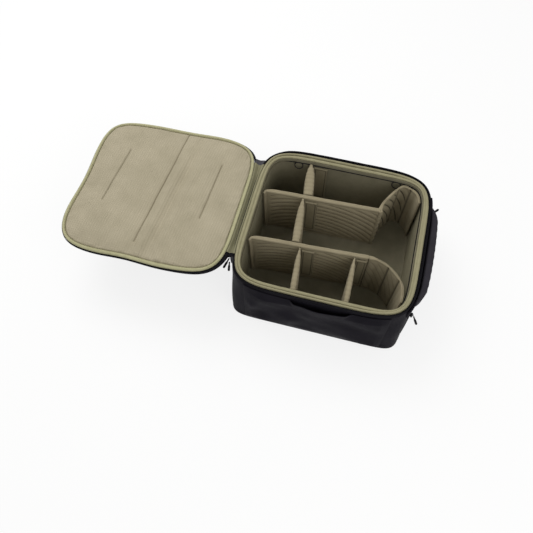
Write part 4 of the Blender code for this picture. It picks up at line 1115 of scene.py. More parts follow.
# Handle nylon: the tub's cloth drawn tight over foam cord, so its weave shows less; painted lighter than the
# same nylon on the walls, as a lit copy of it
lit_handle_nylon = cloth(
    "ribbed_handle_nylon_painted_lit",
    "#28262B",
    "#39373C",
    0.02,
    0.0012,
    0.00018,
    0.6,
    0.5,
    0.006,
    "#8C8496",
    gloss=0.02
)
dress(handle, lit_handle_nylon, "tub", "black_nylon", "grab_handle")
for side, patch_start, patch_end in (("far", 0.0833, 0.1030), ("near", -0.0973, -0.1170)):
    ys = np.linspace(patch_start, patch_end, 24)[:, None]
    place = np.linspace(0, 1, 20)[None, :]
    z = handle_low + (handle_high - handle_low) * place
    border = np.minimum(
        np.minimum(place, 1 - place) * 0.024, np.minimum(np.abs(ys - patch_start), np.abs(patch_end - ys))
    )
    swell = 0.0008 + 0.0005 * np.clip(border / 0.0022, 0, 1) ** 0.5
    foot = wall_face(ys, np.full_like(ys, handle_low), 0.0)[..., 0] + 0.0018
    top = np.stack(np.broadcast_arrays(foot + swell, ys, z), axis=-1)
    under = np.stack(np.broadcast_arrays(foot - 0.0032, ys, z[:, ::-1]), axis=-1)
    patch = sewn(
        f"handle_patch_{side}", np.concatenate([top, under], axis=1), wrap_columns=True, ends="ladder"
    )
    dress(patch, hem_cloth, "tub", "hem_nylon", f"handle_end_{side}")

# Lid: a foam pad under ribbed beige cloth, bound round with olive piping, in a thin shell
# of black nylon. It lies open on its back and droops a little to the left.
lid_origin = np.array([-0.1557, 0.0, 0.1428])
lid_droop = math.radians(1.5)
lid_half_x, lid_half_y, lid_corner = 0.1500, 0.1395, 0.0550


def lid_world(x, y, z):
    """The lid's own coordinates, given its slack, then turned by its droop and moved to the hinge line.

    Its left edge is drawn in by a bell of 5.5 mm at mid length and its far edge by 2 mm in waves. The
    edges dip in waves of 2 to 3 mm, most at the near one; each fades out within 60 mm of its edge.
    """
    x, y, z = np.broadcast_arrays(x, y, z)
    left = np.clip((-0.2450 - x) / 0.06, 0, 1) ** 1.5
    near = np.clip((-0.0800 - y) / 0.06, 0, 1) ** 1.5
    far = np.clip((y - 0.0800) / 0.06, 0, 1) ** 1.5
    pulled = 0.0055 * left * np.exp(-((y - 0.012) / 0.052) ** 2)
    waved = 0.0016 * np.sin((x + 0.03) / 0.021)
    z = z - near * (0.0026 * np.exp(-((x + 0.205) / 0.045) ** 2) + 0.0012 * (1 - np.sin(x / 0.016)))
    z = z - 0.0010 * left * (1 - np.sin(y / 0.018)) - 0.0014 * far * (1 - np.sin(x / 0.024))
    y = y + near * (0.0014 * np.cos(x / 0.030) + 0.0006) - far * (waved + 0.0012) * 0.8
    x = x + pulled
    turned_x = x * math.cos(lid_droop) - z * math.sin(lid_droop)
    turned_z = x * math.sin(lid_droop) + z * math.cos(lid_droop)
    return np.stack([turned_x + lid_origin[0], y + lid_origin[1], turned_z + lid_origin[2]], axis=-1)


def lid_ring(turn, inset, z):
    """The lid's rounded outline at an inset, in the lid's own coordinates."""
    turn, inset, z = np.broadcast_arrays(turn, inset, z)
    corner = np.maximum(lid_corner - inset, 0.012)
    x, y = outline(turn, lid_half_x - inset, lid_half_y - inset, corner)
    return x - lid_half_x - 0.0057, y, z


lid_columns = 420
lid_turns = np.linspace(0, 2 * math.pi, lid_columns, endpoint=False)[None, :]
pad_insets = np.concatenate([
    [0.0076, 0.0069, 0.0066, 0.0068, 0.0074],
    np.linspace(0.0086, 0.0900, 62),
])[:, None]
pad_levels = np.interp(
    pad_insets[:, 0],
    [0.0066, 0.0086, 0.0110, 0.0170, 0.0420, 0.1],
    [-0.0034, -0.0010, -0.0001, 0.0003, 0.0004, 0.0005]
)
pad_levels[:4] = [-0.0045, -0.0044, -0.0040, -0.0034]
lid_x, lid_y, lid_z = lid_ring(lid_turns, pad_insets, pad_levels[:, None])
core = np.linspace(0.96, 0.006, 44)[:, None]
centre_x = -lid_half_x - 0.0057
lid_x = np.concatenate([lid_x, centre_x + (lid_x[-1:] - centre_x) * core])
lid_y = np.concatenate([lid_y, lid_y[-1:] * core])
lid_z = np.concatenate([lid_z, np.broadcast_to(lid_z[-1:], (44, lid_columns))])


def seam_groove(x, y, start, end, width, depth):
    """A sewn groove from start to end in plan: depth * exp(-(distance / width)^2)."""
    start, end = np.array(start), np.array(end)
    way = end - start
    share = np.clip(((x - start[0]) * way[0] + (y - start[1]) * way[1]) / (way @ way), 0, 1)
    distance = np.hypot(x - start[0] - share * way[0], y - start[1] - share * way[1])
    return depth * np.exp(-(distance / width) ** 2)

lid_seams = (
    ((-0.1436, 0.1343), (-0.1646, -0.1066)),
    ((-0.2387, 0.0722), (-0.2500, -0.0401)),
    ((-0.0642, 0.0763), (-0.0701, -0.0384)),
)
lid_relief = -seam_groove(lid_x, lid_y, *lid_seams[0], 0.0022, 0.0015)
lid_relief -= seam_groove(lid_x, lid_y, *lid_seams[1], 0.0020, 0.0013)
lid_relief -= seam_groove(lid_x, lid_y, *lid_seams[2], 0.0020, 0.0013)
# A low ripple runs beside the middle seam, and the cloth is a little loose by its corners
beside_seam = lid_x * 0.9962 - lid_y * 0.0869
ripple_fade = np.exp(-((lid_y + 0.01) / 0.12) ** 4)
lid_relief += 0.0026 * np.exp(-((beside_seam + 0.1400) / 0.0065) ** 2) * ripple_fade
lid_relief -= 0.0036 * np.exp(-((beside_seam + 0.1255) / 0.0065) ** 2) * ripple_fade
lid_relief += 0.0022 * np.exp(-((beside_seam + 0.1100) / 0.0085) ** 2) * ripple_fade
lid_relief -= 0.0020 * np.exp(-(((lid_x + 0.0225) * 0.97 - (lid_y - 0.108) * 0.25) / 0.0028) ** 2) * np.exp(
    -((lid_y - 0.108) / 0.02) ** 2
)
lid_places = np.stack([lid_x, lid_y, np.zeros_like(lid_x)], axis=-1)
edge_near = (
    np.concatenate([np.exp(-np.clip(pad_insets[:, 0] - 0.008, 0, None) / 0.016), np.zeros(44)])[:, None]
)
edge_pucker = (
    np.sin(lid_turns * 31 + 2.0 * np.sin(lid_turns * 5)) * np.sin(lid_turns * 7 + 1)
    + 0.6 * np.sin(lid_turns * 53)
)
lid_relief += 0.0012 * ripples(lid_places, (0.09, 0.05), 51) + 0.0005 * ripples(
    lid_places, (0.022,), 52
) + 0.0010 * edge_near * edge_pucker
lid_edge_free = np.concatenate([np.clip((pad_insets[:, 0] - 0.0072) / 0.004, 0, 1), np.ones(44)])[:, None]
lid_z = lid_z + (lid_relief - 0.0002) * lid_edge_free
# The pad swells between its seams and its edge: a flat back closes it for the trial
lid_floor = np.linspace(0.006, 0.97, 9)[:, None]
back_x, back_y = centre_x + (lid_x[:1] - centre_x) * lid_floor, lid_y[:1] * lid_floor
pad_trial = np.stack([
    np.concatenate([back_x, lid_x]), np.concatenate([back_y, lid_y]), np.concatenate(
        [np.full_like(back_x, -0.0090), lid_z]
    ),
], axis=-1)
pad_held = np.max([seam_groove(lid_x, lid_y, *seam, 0.0030, 1.0) for seam in lid_seams], axis=0)
pad_held = np.maximum(pad_held, 1 - lid_edge_free)
pad_trial += swollen("lid_pad", pad_trial, np.concatenate([np.ones_like(back_x), pad_held]), 0.0030, "fan")
lid_x, lid_y, lid_z = np.moveaxis(pad_trial[9:], -1, 0)
lid_pad = sewn("lid_pad_cloth", lid_world(lid_x, lid_y, lid_z), wrap_columns=True, ends="pole", closed=False)
# Painted shade with dark thread along the pad's sewn seam grooves
shaded(lid_pad, sum(seam_groove(lid_x, lid_y, *seam, 0.0011, 0.85) for seam in lid_seams))
thick(lid_pad, 0.0009)


def ribbed(name, dark, light, rib_pitch, lean):
    """A padded knit: low ribs along its length, a loose weave across them, painted shade in the rib valleys,
    and dark thread with painted shade in the seams' grooves.

    The rib height is sin^2 of the distance across the ribs, plus a third as much along them.
    """
    material = cloth(
        name, dark, light, 0.045, 0.0017, 0.0002, 0.6, 0.95, 0.08, "#E8E0C8", space="Object", seam="#5B523D"
    )
    tree = material.node_tree
    shader = tree.nodes["Principled BSDF"]
    places = add(tree, "ShaderNodeTexCoord").outputs["Object"]
    turned = add(tree, "ShaderNodeMapping", {"Vector": places, "Rotation": (0.0, 0.0, lean)})
    ribs = wave(tree, turned.outputs[0], rib_pitch, "X")
    ladder = wave(tree, turned.outputs[0], rib_pitch * 0.9, "Y")
    height = sums(tree, "ADD", ribs, sums(tree, "MULTIPLY", ladder, 0.35))
    old = shader.inputs["Normal"].links[0].from_socket
    bump = add(
        tree, "ShaderNodeBump", {"Height": height, "Normal": old, "Strength": 0.55, "Distance": 0.0007}
    )
    tree.links.new(bump.outputs[0], shader.inputs["Normal"])
    tone = shader.inputs["Base Color"].links[0].from_socket
    # Painted shade: the colour goes towards the dark tone down in each rib valley
    painted_valley_shade = sums(tree, "MULTIPLY", sums(tree, "SUBTRACT", 1.0, height), 0.30)
    tree.links.new(blended(tree, painted_valley_shade, tone, linear(dark)), shader.inputs["Base Color"])
    return material


# Lid padding cloth: beige with a khaki cast, ribs 4.4 mm apart that lean as the seams do
lid_cloth = ribbed("ribbed_beige_padding", "#908871", "#B7AD96", 0.0044, math.radians(5))
dress(lid_pad, lid_cloth, "lid", "beige_padding", "lid_lining")

# Lid binding: the same olive piping cloth wrapped over the edge, one stitch row inside it
binding_swing = np.linspace(0, math.pi, 13)
binding_insets = np.concatenate([0.0033 - 0.0032 * np.cos(binding_swing), [0.0060, 0.0006]])
binding_levels = np.concatenate([-0.0042 + 0.0040 * np.sin(binding_swing) ** 0.6, [-0.0045, -0.0045]])
binding_turns = np.linspace(0, 2 * math.pi, 480, endpoint=False)
bind_x, bind_y, bind_z = lid_ring(binding_turns[None, :], binding_insets[:, None], binding_levels[:, None])
bind_places = np.stack([bind_x, bind_y, np.zeros_like(bind_x)], axis=-1)
bind_z = bind_z + 0.00018 * ripples(bind_places, (0.011, 0.007), 61) * (binding_levels > -0.004)[:, None]
lid_binding = sewn("lid_edge_binding", lid_world(bind_x, bind_y, bind_z), wrap_rows=True, wrap_columns=True)
stitch_row = (
    0.5
    + 0.5 * np.sin(
        run_lengths(bind_x[..., None] * [1, 0, 0] + bind_y[..., None] * [0, 1, 0], 1)[None, :]
        * 2 * math.pi / 0.0042
    )
)
shaded(lid_binding, np.exp(-((binding_insets[:, None] - 0.0052) / 0.0006) ** 2) * stitch_row * 0.7)
dress(lid_binding, lit_binding_cloth, "lid", "olive_binding", "lid_piping")

# Lid foam: a thin board of the closed-cell foam between the cloth and the shell
core_insets = np.array(
    [
        0.1380,
        0.1000,
        0.0800,
        0.0600,
        0.0450,
        0.0300,
        0.0180,
        0.0060,
        0.0055,
        0.0060,
        0.0180,
        0.0300,
        0.0450,
        0.0600,
        0.0800,
        0.1000,
        0.1380
    ]
)
core_levels = np.concatenate([np.full(8, -0.0092), [-0.0072], np.full(8, -0.0052)])
core_share = np.where(core_insets > 0.02, (0.1395 - core_insets) / (0.1395 - 0.02), 1.0)[:, None]
core_x, core_y, core_z = lid_ring(
    lid_turns[:, ::3], np.minimum(core_insets, 0.02)[:, None], core_levels[:, None]
)
core_x, core_y = centre_x + (core_x - centre_x) * core_share, core_y * core_share
lid_core = sewn("lid_foam_board", lid_world(core_x, core_y, core_z), wrap_columns=True, ends="fan")
dress(lid_core, board_foam, "lid", "foam", "lid_foam")

# Lid shell: one thin shaped panel of black nylon behind the foam, turned up at its edge
shell_insets = np.concatenate(
    [[0.0012, 0.0, -0.0005, -0.0005, 0.0005, 0.0040, 0.0090], np.linspace(0.014, 0.09, 24)]
)
shell_levels = np.interp(
    shell_insets, [0.0005, 0.0040, 0.0090, 0.0300, 0.1], [-0.0087, -0.0102, -0.0112, -0.0113, -0.0113]
)
shell_levels[:4] = [-0.0049, -0.0049, -0.0054, -0.0078]
sh_x, sh_y, sh_z = lid_ring(lid_turns, shell_insets[:, None], shell_levels[:, None])
shell_core = np.linspace(0.92, 0.006, 20)[:, None]
sh_x = np.concatenate([sh_x, centre_x + (sh_x[-1:] - centre_x) * shell_core])
sh_y = np.concatenate([sh_y, sh_y[-1:] * shell_core])
sh_z = np.concatenate([sh_z, np.broadcast_to(sh_z[-1:], (20, lid_columns))])
sh_places = np.stack([sh_x, sh_y, np.zeros_like(sh_x)], axis=-1)
sh_free = np.concatenate([np.clip((shell_insets - 0.004) / 0.01, 0, 1), np.ones(20)])[:, None]
sh_z = sh_z + 0.0004 * (ripples(sh_places, (0.07, 0.04), 71) + 0.9) * sh_free
lid_shell = sewn(
    "lid_shell_nylon", lid_world(sh_x, sh_y, sh_z), wrap_columns=True, ends="pole", closed=False, flip=True
)
thick(lid_shell, 0.0008)
dress(lid_shell, nylon, "lid", "black_nylon", "lid_shell")

# Lid's half of the zip: its tape, round the three free sides
lid_zip_far, lid_zip_near = math.radians(36.0), math.radians(-31.4)
lid_tape_turns = np.linspace(lid_zip_far, lid_zip_near + 2 * math.pi, 360)
lid_tape_profile = np.array(
    [(-0.0008, -0.0078), (-0.0008, -0.0048), (-0.0018, -0.0048), (-0.0021, -0.0060), (-0.0019, -0.0078)]
)
# Near its ends the tape is loose and stands out from the lid, by 7 mm at the near end and half that at the
# far one
near_end = (
    np.exp(-((lid_tape_turns - lid_tape_turns[-1]) / 0.42) ** 2)
    + 0.5 * np.exp(-((lid_tape_turns - lid_tape_turns[0]) / 0.25) ** 2)
)
tape_out = np.array([0.0, 0.0, 0.4, 1.0, 0.7])[None, :] * near_end[:, None] * 0.0066
tape_x, tape_y, tape_z = lid_ring(
    lid_tape_turns[:, None], lid_tape_profile[None, :, 0] - tape_out, lid_tape_profile[None, :, 1]
)
lid_tape = sewn("lid_zip_tape_cloth", lid_world(tape_x, tape_y, tape_z), wrap_columns=True, ends="fan")
dress(lid_tape, tape_cloth, "lid", "zip_tape", "lid_zip_tape")

# Hinge gusset: olive cloth from the rim to the lid with a fold along it, backed with black
# nylon, and at each end a tab of zip tape: grey at the far end, black at the near one.


def saddle(name, y_low, y_high, x_tub, x_lid, edge_z, fold_depth, depth, rows, seed, uneven):
    """A strip across the hinge, level at its edges and folded down between them.

    The fold's drop is depth * (0.5 - 0.5 cos(2 pi share))^0.7, over shares across the gap.
    """
    ys = np.linspace(y_low, y_high, rows)[:, None]
    share = np.linspace(0, 1, 26)[None, :]
    start = x_tub(ys[:, 0])
    end = x_lid(ys[:, 0])
    lip = 0.14
    inside = np.clip((share - lip) / (1 - 2 * lip), 0, 1)
    drop = fold_depth * (0.5 - 0.5 * np.cos(2 * math.pi * inside)) ** 0.7
    x = start[:, None] + (end - start)[:, None] * share
    z = edge_z - drop
    places = np.stack(np.broadcast_arrays(x, ys, z), axis=-1)
    places[..., 2] += (
        uneven * (ripples(places * np.array([1.0, 1.0, 0.0]), (0.03, 0.014), seed) - 0.6) * (drop > 0.0004)
    )
    lower = places[:, ::-1] - np.array([0.0, 0.0, depth])
    return sewn(name, np.concatenate([places, lower], axis=1), wrap_columns=True, ends="ladder")


def tub_side(y, inset):
    """The left wall's edge line at y, in plan."""
    power = 0.286 / (corner_at(0.1323) - inset)
    return -(shell_half_x - inset) * (1 - np.abs(y / (shell_half_y - inset)) ** power) ** (1 / power)


def lid_side(y, out):
    """The lid's edge line on its hinge side at y, in plan."""
    power = 0.286 / (lid_corner + out)
    reach = (lid_half_x + out) * (1 - np.abs(y / (lid_half_y + out)) ** power) ** (1 / power)
    return lid_origin[0] + (reach - lid_half_x - 0.0057) * math.cos(lid_droop)


gusset_cloth = cloth(
    "olive_gusset_cloth", "#706D52", "#88846A", 0.02, 0.0013, 0.0002, 0.8, 0.9, 0.1, "#D8D6A8"
)
gusset = saddle(
    "hinge_gusset_cloth",
    -0.0874,
    0.0974,
    lambda y: tub_side(y, 0.0043),
    lambda y: lid_side(y, 0.0008),
    0.1401,
    0.0050,
    0.0008,
    120,
    81,
    0.0004
)
dress(gusset, gusset_cloth, None, "olive_binding", "hinge_gusset")
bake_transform(gusset)
backing = saddle(
    "hinge_backing_nylon",
    -0.0874,
    0.0974,
    lambda y: tub_side(y, 0.0043),
    lambda y: lid_side(y, 0.0009),
    0.1390,
    0.0050,
    0.0007,
    120,
    81,
    0.0003
)
dress(backing, nylon, None, "black_nylon", "hinge_backing")
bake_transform(backing)
grey_cloth = cloth(
    "grey_zip_end_tape", "#3C3B3E", "#525155", 0.006, 0.0011, 0.0002, 0.4, 0.78, 0.01, twill=True, gloss=0.1
)
far_tab = saddle(
    "zip_end_tab_grey",
    0.0970,
    0.1089,
    lambda y: tub_side(y, 0.0004),
    lambda y: lid_side(y, 0.0010),
    0.1361,
    0.0022,
    0.0010,
    16,
    82,
    0.0001
)
dress(far_tab, grey_cloth, None, "grey_tape", "zip_end_tab_far")
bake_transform(far_tab)
near_tab = saddle(
    "zip_end_tab_black",
    -0.0945,
    -0.0864,
    lambda y: tub_side(y, 0.0006),
    lambda y: lid_side(y, 0.0010),
    0.1378,
    0.0022,
    0.0010,
    12,
    83,
    0.0001
)
dress(near_tab, tape_cloth, None, "zip_tape", "zip_end_tab_near")
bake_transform(near_tab)

# Lid zip slider: parked at the near end of the hinge, with two cord pulls on it
low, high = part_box("lid_zip_slider")
slider_middle = np.array([(low.x + high.x) / 2, (low.y + high.y) / 2, 0.1417])
slider_turn = math.radians(-160.5 + 90)
slider_way = np.array([math.cos(slider_turn), math.sin(slider_turn), 0.0])
straight_up = np.array([0.0, 0.0, 1.0])
lid_slider = slider_body("lid_slider_body", slider_middle, slider_way, straight_up, 0.0109, 0.0058, 0.0016)
dress(lid_slider, slider_metal, "lid_slider", "slider_metal", "lid_zip_slider")
for number, start, along, length in (
    (1, (-0.154241, -0.09884, 0.1417), (-0.35, -0.70, -0.62), 0.0200),
    (2, (-0.152039, -0.105062, 0.1417), (0.10, -0.80, -0.59), 0.0155),
):
    lid_pull = pull(f"lid_pull_{number}_cord", start, along, length)
    dress(lid_pull, rubber_end, f"lid_pull_{number}", "black_cord", f"lid_zip_pull_{number}")

# Long dividers: two boards of soft foam between quilted cloth, each one continuous run
# from a flap stuck on the left wall to a flare of creased panels on the right. The quilting
# is sewn in arcs on the straight panel and in slanted lines on the flare.
divider_low, divider_high = 0.0142, 0.1333
fine_pitch = 0.0016


def through(points, pitch):
    """An even run of plan points through the given ones: each span is a cubic whose end slopes are half
    the chord across."""
    points = np.asarray(points, float)
    ends = np.vstack([2 * points[0] - points[1], points, 2 * points[-1] - points[-2]])
    share = np.linspace(0, 1, 40, endpoint=False)[:, None]
    rise = 3 * share ** 2 - 2 * share ** 3
    spans = [
        b * (1 - rise)
        + c * rise
        + (share - 2 * share ** 2 + share ** 3) * (c - a) / 2
        + (share ** 3 - share ** 2) * (d - b) / 2
        for a, b, c, d in zip(ends, ends[1:], ends[2:], ends[3:])
    ]
    line = np.vstack([*spans, points[-1:]])
    run = np.concatenate([[0.0], np.cumsum(np.linalg.norm(np.diff(line, axis=0), axis=1))])
    at = np.linspace(0, run[-1], int(run[-1] / pitch) + 1)
    return at, np.stack([np.interp(at, run, line[:, 0]), np.interp(at, run, line[:, 1])], axis=1)


def half_section(low, high, half, rounding, pitch):
    """One side of a padded strip's section, from under its foot to over its top: across share and height.

    Arcs of 90 degrees at foot and top, with an even run of points up the face between them.
    """
    arc = np.linspace(0.06, 1, 6) * math.pi / 2
    face = np.linspace(low + rounding, high - rounding, int((high - low) / pitch))
    shares = np.concatenate([np.sin(arc[:-1]), np.ones(len(face)), np.sin(arc[::-1][1:])])
    heights = np.concatenate(
        [low + rounding * (1 - np.cos(arc[:-1])), face, high - rounding * (1 - np.cos(arc[::-1][1:]))]
    )
    return shares * half, heights


def upright(line, halves, shares, heights):
    """A padded strip: the section carried along a plan line, its thickness scaled by halves."""
    ways = np.gradient(line, axis=0)
    ways /= np.linalg.norm(ways, axis=1)[:, None]
    side = np.stack([-ways[:, 1], ways[:, 0]], axis=1)
    spread = np.concatenate([shares, -shares[::-1]])[None, :] * halves[:, None]
    points = np.empty((len(line), 2 * len(shares), 3))
    points[..., :2] = line[:, None] + side[:, None] * spread[..., None]
    points[..., 2] = np.concatenate([heights, heights[::-1]])[None, :]
    return points


def facing(points):
    """Unit normals of a strip's grid, from the cross product of its two ways, turned away from its middle
    line."""
    along = np.gradient(points, axis=0)
    around = (np.roll(points, -1, axis=1) - np.roll(points, 1, axis=1))
    normal = np.cross(along, around)
    normal /= np.maximum(np.linalg.norm(normal, axis=-1, keepdims=True), 1e-9)
    middle = points.mean(axis=1, keepdims=True)
    turned = np.sign(np.sum(normal * (points - middle), axis=-1).mean())
    return normal * turned


def channels(distance, pitch, depth):
    """Quilting: puffed between sewn lines, depth * (|sin(pi * distance / pitch)|^0.5 - 1)."""
    return depth * (np.abs(np.sin(math.pi * distance / pitch)) ** 0.5 - 1)


def long_strip(name, points, crease_spots, pitch, seed, vein_strength):
    """One long divider as a quilted strip: channels on both faces, a seam along each edge and down its
    top, and painted shade in its grooves, creases and the flare's veins."""
    run, line = through(points, 0.0012)
    at = [run[np.argmin(np.hypot(*(line - spot).T))] for spot in crease_spots]
    halves = np.interp(
        run, [0, 0.004, 0.016, run[-1] - 0.006, run[-1] - 0.002, run[-1]], [0.45, 0.55, 1.0, 1.0, 0.8, 0.45]
    )
    for spot in at:
        halves = halves * (1 - 0.30 * np.exp(-((run - spot) / 0.0022) ** 2))
    # The flare is sewn thinner than the straight panel, and lies against the outer side of its space
    thin = 0.40 * np.clip((run - at[0]) / 0.018, 0, 1) ** 2 * (3 - 2 * np.clip((run - at[0]) / 0.018, 0, 1))
    halves = halves * (1 - thin)
    ways = np.gradient(line, axis=0)
    ways /= np.linalg.norm(ways, axis=1)[:, None]
    line = line + 0.0044 * thin[:, None] * np.stack([-ways[:, 1], ways[:, 0]], axis=1)
    shares, heights = half_section(divider_low, divider_high, 0.0040, 0.0040, fine_pitch)
    grid = upright(line, halves, shares, heights)
    held = np.max([np.exp(-((run - spot) / 0.003) ** 2) for spot in (*at, 0.0, run[-1])], axis=0)[:, None]
    held = np.maximum(held, np.abs(np.concatenate([shares, shares[::-1]]))[None, :] < 0.0036)
    held = np.maximum(held, np.exp(-((grid[..., 2] - divider_high + 0.0058) / 0.003) ** 2))
    grid = grid + swollen(name, grid, held, 0.0013, "ladder")
    normal = facing(grid)
    z = grid[..., 2]
    stretch = np.broadcast_to(run[:, None], z.shape)
    across_top = np.broadcast_to(np.concatenate([shares, shares[::-1]])[None, :], z.shape)
    band = np.clip((divider_high - 0.0068 - z) / 0.003, 0, 1) * np.clip(
        (z - divider_low - 0.006) / 0.003, 0, 1
    )
    arcs, veins = quilting(stretch, z, at, pitch, vein_strength)
    relief = band * arcs
    for height in (divider_high - 0.0058, divider_low + 0.0055):
        relief = relief - 0.0013 * np.exp(-((z - height) / 0.0011) ** 2)
    relief = relief - 0.0011 * np.exp(-(across_top / 0.0011) ** 2) * (z > divider_high - 0.003)
    creased = np.max([np.exp(-((stretch - spot) / 0.0016) ** 2) for spot in at], axis=0) * (
        z < divider_high - 0.002
    )
    # Painted shade: darker with the depth of each sewn groove, along the creases and on the flare's veins
    shade = np.clip((-relief - 0.0007) / 0.0011, 0, 1) ** 1.3 * 0.85 + 0.75 * creased + band * veins
    relief = relief - 0.0010 * creased
    relief = relief + 0.0003 * ripples(grid, (0.03, 0.016), seed)
    strip = sewn(name, grid + normal * relief[..., None], wrap_columns=True, ends="ladder")
    shaded(strip, shade)
    return strip, line


def quilting(run, z, at, pitch, vein_strength):
    """Sewn arcs, 2.1 mm deep: round a point below the straight panel's left part, and steeper over the
    flare.

    Also returns the painted shade along each vein of the flare: exp(-(distance from the sewn arc / 1.1
    mm)^2).
    """
    straight = channels(np.hypot(run - at[0] + 0.1205, z + 0.0681), pitch, 0.0021)
    reach = np.hypot(run - at[0] + 0.173, z + 0.025)
    past_first, past_second = run > at[1], run > at[2]
    steps = np.where(past_first, (reach - 0.2507) / 0.0135, (reach - 0.2317) / 0.0115)
    fanned = 0.0016 * vein_strength * (np.abs(np.sin(math.pi * steps)) ** 0.5 - 1)
    distance = (steps - np.round(steps)) * np.where(past_first, 0.0135, 0.0115)
    gaps = np.min([np.abs(run - spot) for spot in at], axis=0)
    apart = np.clip((gaps - 0.0010) / 0.003, 0, 1)
    on_flare = (run > at[0]) & ~past_second
    veins = vein_strength * np.exp(-(distance / 0.0011) ** 2) * apart * on_flare
    arcs = np.where(run > at[0], fanned * ~past_second, straight)
    return arcs * apart * np.clip((run - 0.012) / 0.004, 0, 1), veins


# Divider cloth: the lid's beige knit, brushed and a little darker, with no ribs; its seam colour is the
# painted shade of the sewn grooves, creases and puckers
divider_cloth = cloth(
    "brushed_beige_padding",
    "#82785F",
    "#9D937A",
    0.02,
    0.0014,
    0.0002,
    1.3,
    0.95,
    0.1,
    "#E8E0C8",
    seam="#35301F"
)
far_points = [
    (-0.1345, 0.0440),
    (-0.1200, 0.0520),
    (-0.0250, 0.0555),
    (0.0640, 0.0588),
    (0.0689, 0.0590),
    (0.0781, 0.0816),
    (0.0993, 0.1142),
    (0.1150, 0.1130),
    (0.1268, 0.1044),
    (0.1322, 0.0888)
]
near_points = [
    (-0.1345, -0.0530),
    (-0.1200, -0.0450),
    (-0.0250, -0.0400),
    (0.0600, -0.0354),
    (0.0689, -0.0349),
    (0.0846, -0.0389),
    (0.1019, -0.0464),
    (0.1223, -0.0659),
    (0.1287, -0.0830),
    (0.1292, -0.1025)
]
for side, points, spots, pitch, seed, hinge_x, veins in (
    ("far", far_points, ((0.0689, 0.0590), (0.0945, 0.1100), (0.1150, 0.1130)), 0.0114, 91, 0.1129, 1.0),
    (
        "near",
        near_points,
        ((0.0689, -0.0349), (0.1019, -0.0464), (0.1223, -0.0659)),
        0.0104,
        92,
        0.1178,
        0.35
    ),
):
    strip, line = long_strip(f"long_divider_{side}", points, spots, pitch, seed, veins)
    nodes = [f"divider_{side}_{part}" for part in ("end_flap", "panel", "flare", "tip")]
    dress(strip, divider_cloth, None, "beige_padding", *nodes)
    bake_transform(strip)

# Short dividers: leaf-shaped boards, thin at the far end, whose two faces are sewn to the
# top with puckered seams. Each has a flap of hook tape behind its far end.
leaf_places = [0.0, 0.05, 0.10, 0.20, 0.35, 0.52, 0.70, 0.86, 1.0]
leaf_widths = [0.22, 0.42, 0.60, 0.78, 0.91, 0.98, 1.0, 0.98, 0.92]
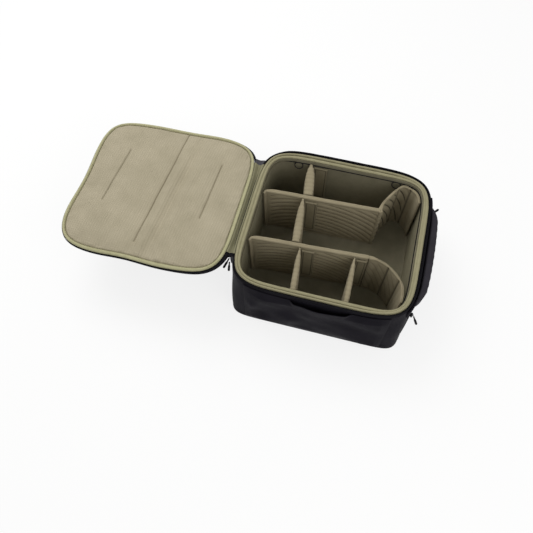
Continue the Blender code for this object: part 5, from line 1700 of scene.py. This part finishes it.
# Hook tape: a close stiff pile, darker than the padding, with a line of stitches inside its edge
hook_tape = cloth(
    "olive_hook_tape", "#736B54", "#8B826A", 0.01, 0.0015, 0.0003, 1.6, 0.95, 0.1, "#D8CFAE", seam="#221E12"
)
for number, far_end, near_end, half in (
    (1, (-0.0660, 0.1235), (-0.0576, 0.0596), 0.0098),
    (2, (-0.0640, 0.0482), (-0.0570, -0.0361), 0.0079),
    (3, (-0.0470, -0.0470), (-0.0410, -0.1237), 0.0060),
    (4, (0.0450, -0.0422), (0.0460, -0.1234), 0.0056),
):
    run, line = through(
        [far_end, ((far_end[0] + near_end[0]) / 2, (far_end[1] + near_end[1]) / 2), near_end], fine_pitch
    )
    widths = np.interp(run / run[-1], leaf_places, leaf_widths)
    widths = np.convolve(np.pad(widths, 4, mode="edge"), np.ones(9) / 9, mode="valid")
    shares, heights = half_section(divider_low, divider_high, half - 0.0010, 0.0042, fine_pitch)
    grid = upright(line, widths, shares, heights)
    held = np.max([np.exp(-((run - spot) / 0.003) ** 2) for spot in (0.0, run[-1])], axis=0)[:, None]
    held = np.maximum(held, np.abs(np.concatenate([shares, shares[::-1]]))[None, :] < 0.85 * (half - 0.0010))
    held = np.maximum(held, np.exp(-((grid[..., 2] - divider_high + 0.0046) / 0.003) ** 2))
    grid = grid + swollen(f"short_divider_{number}", grid, held, 0.0016, "ladder")
    normal = facing(grid)
    z = grid[..., 2]
    stretch = np.broadcast_to(run[:, None], z.shape)
    seam_down = divider_high - z
    seam = np.exp(-((seam_down - 0.0046) / 0.0010) ** 2)
    puckers = np.exp(-((seam_down - 0.0046) / 0.0050) ** 2) * np.sin(
        stretch / 0.00135 + number + 0.4 * np.sin(stretch / 0.004)
    )
    relief = 0.0004 * ripples(grid, (0.03, 0.015), 100 + number) - 0.0012 * seam + 0.00045 * puckers
    leaf = sewn(
        f"short_divider_{number}_leaf", grid + normal * relief[..., None], wrap_columns=True, ends="ladder"
    )
    # Painted shade with dark thread along the seam's groove below the top, and painted shade in the puckers'
    # hollows
    shaded(leaf, 0.8 * seam + 0.25 * np.clip(-puckers, 0, 1))
    dress(leaf, divider_cloth, f"short_divider_{number}", "beige_padding", f"short_divider_{number}")
    low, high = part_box(f"short_divider_{number}_hook")
    flap_x = np.linspace(low.x + 0.0002, high.x - 0.0002, 40)[:, None]
    place = np.linspace(0, 1, 70)[None, :]
    flap_z = low.z + 0.0002 + (high.z - low.z - 0.0004) * place
    share = (flap_x - low.x) / (high.x - low.x)
    node_slope = (high.y - low.y - 0.0030) * (number != 1)
    back_y = low.y + 0.0030 + node_slope * share
    inside = np.minimum(
        np.minimum(flap_x - low.x, high.x - flap_x), np.minimum(flap_z - low.z, high.z - flap_z)
    )
    stitch = 0.0005 * np.exp(-((inside - 0.0034) / 0.0007) ** 2)
    front = back_y - 0.0010 - 0.0019 * np.clip(inside / 0.0012, 0, 1) ** 0.5 + stitch
    face = np.stack(np.broadcast_arrays(flap_x, front, flap_z), axis=-1)
    rear = np.stack(np.broadcast_arrays(flap_x, back_y - 0.0001, flap_z[:, ::-1]), axis=-1)
    flap = sewn(
        f"short_divider_{number}_flap",
        np.concatenate([face, rear], axis=1),
        wrap_columns=True,
        ends="ladder"
    )
    border = np.exp(-((inside - 0.0034) / 0.0008) ** 2) + 0.5 * np.exp(-((inside - 0.0006) / 0.0006) ** 2)
    shaded(flap, np.concatenate([0.75 * border, np.zeros_like(border)], axis=1))
    dress(flap, hook_tape, f"short_divider_{number}", "beige_padding", f"short_divider_{number}_hook")
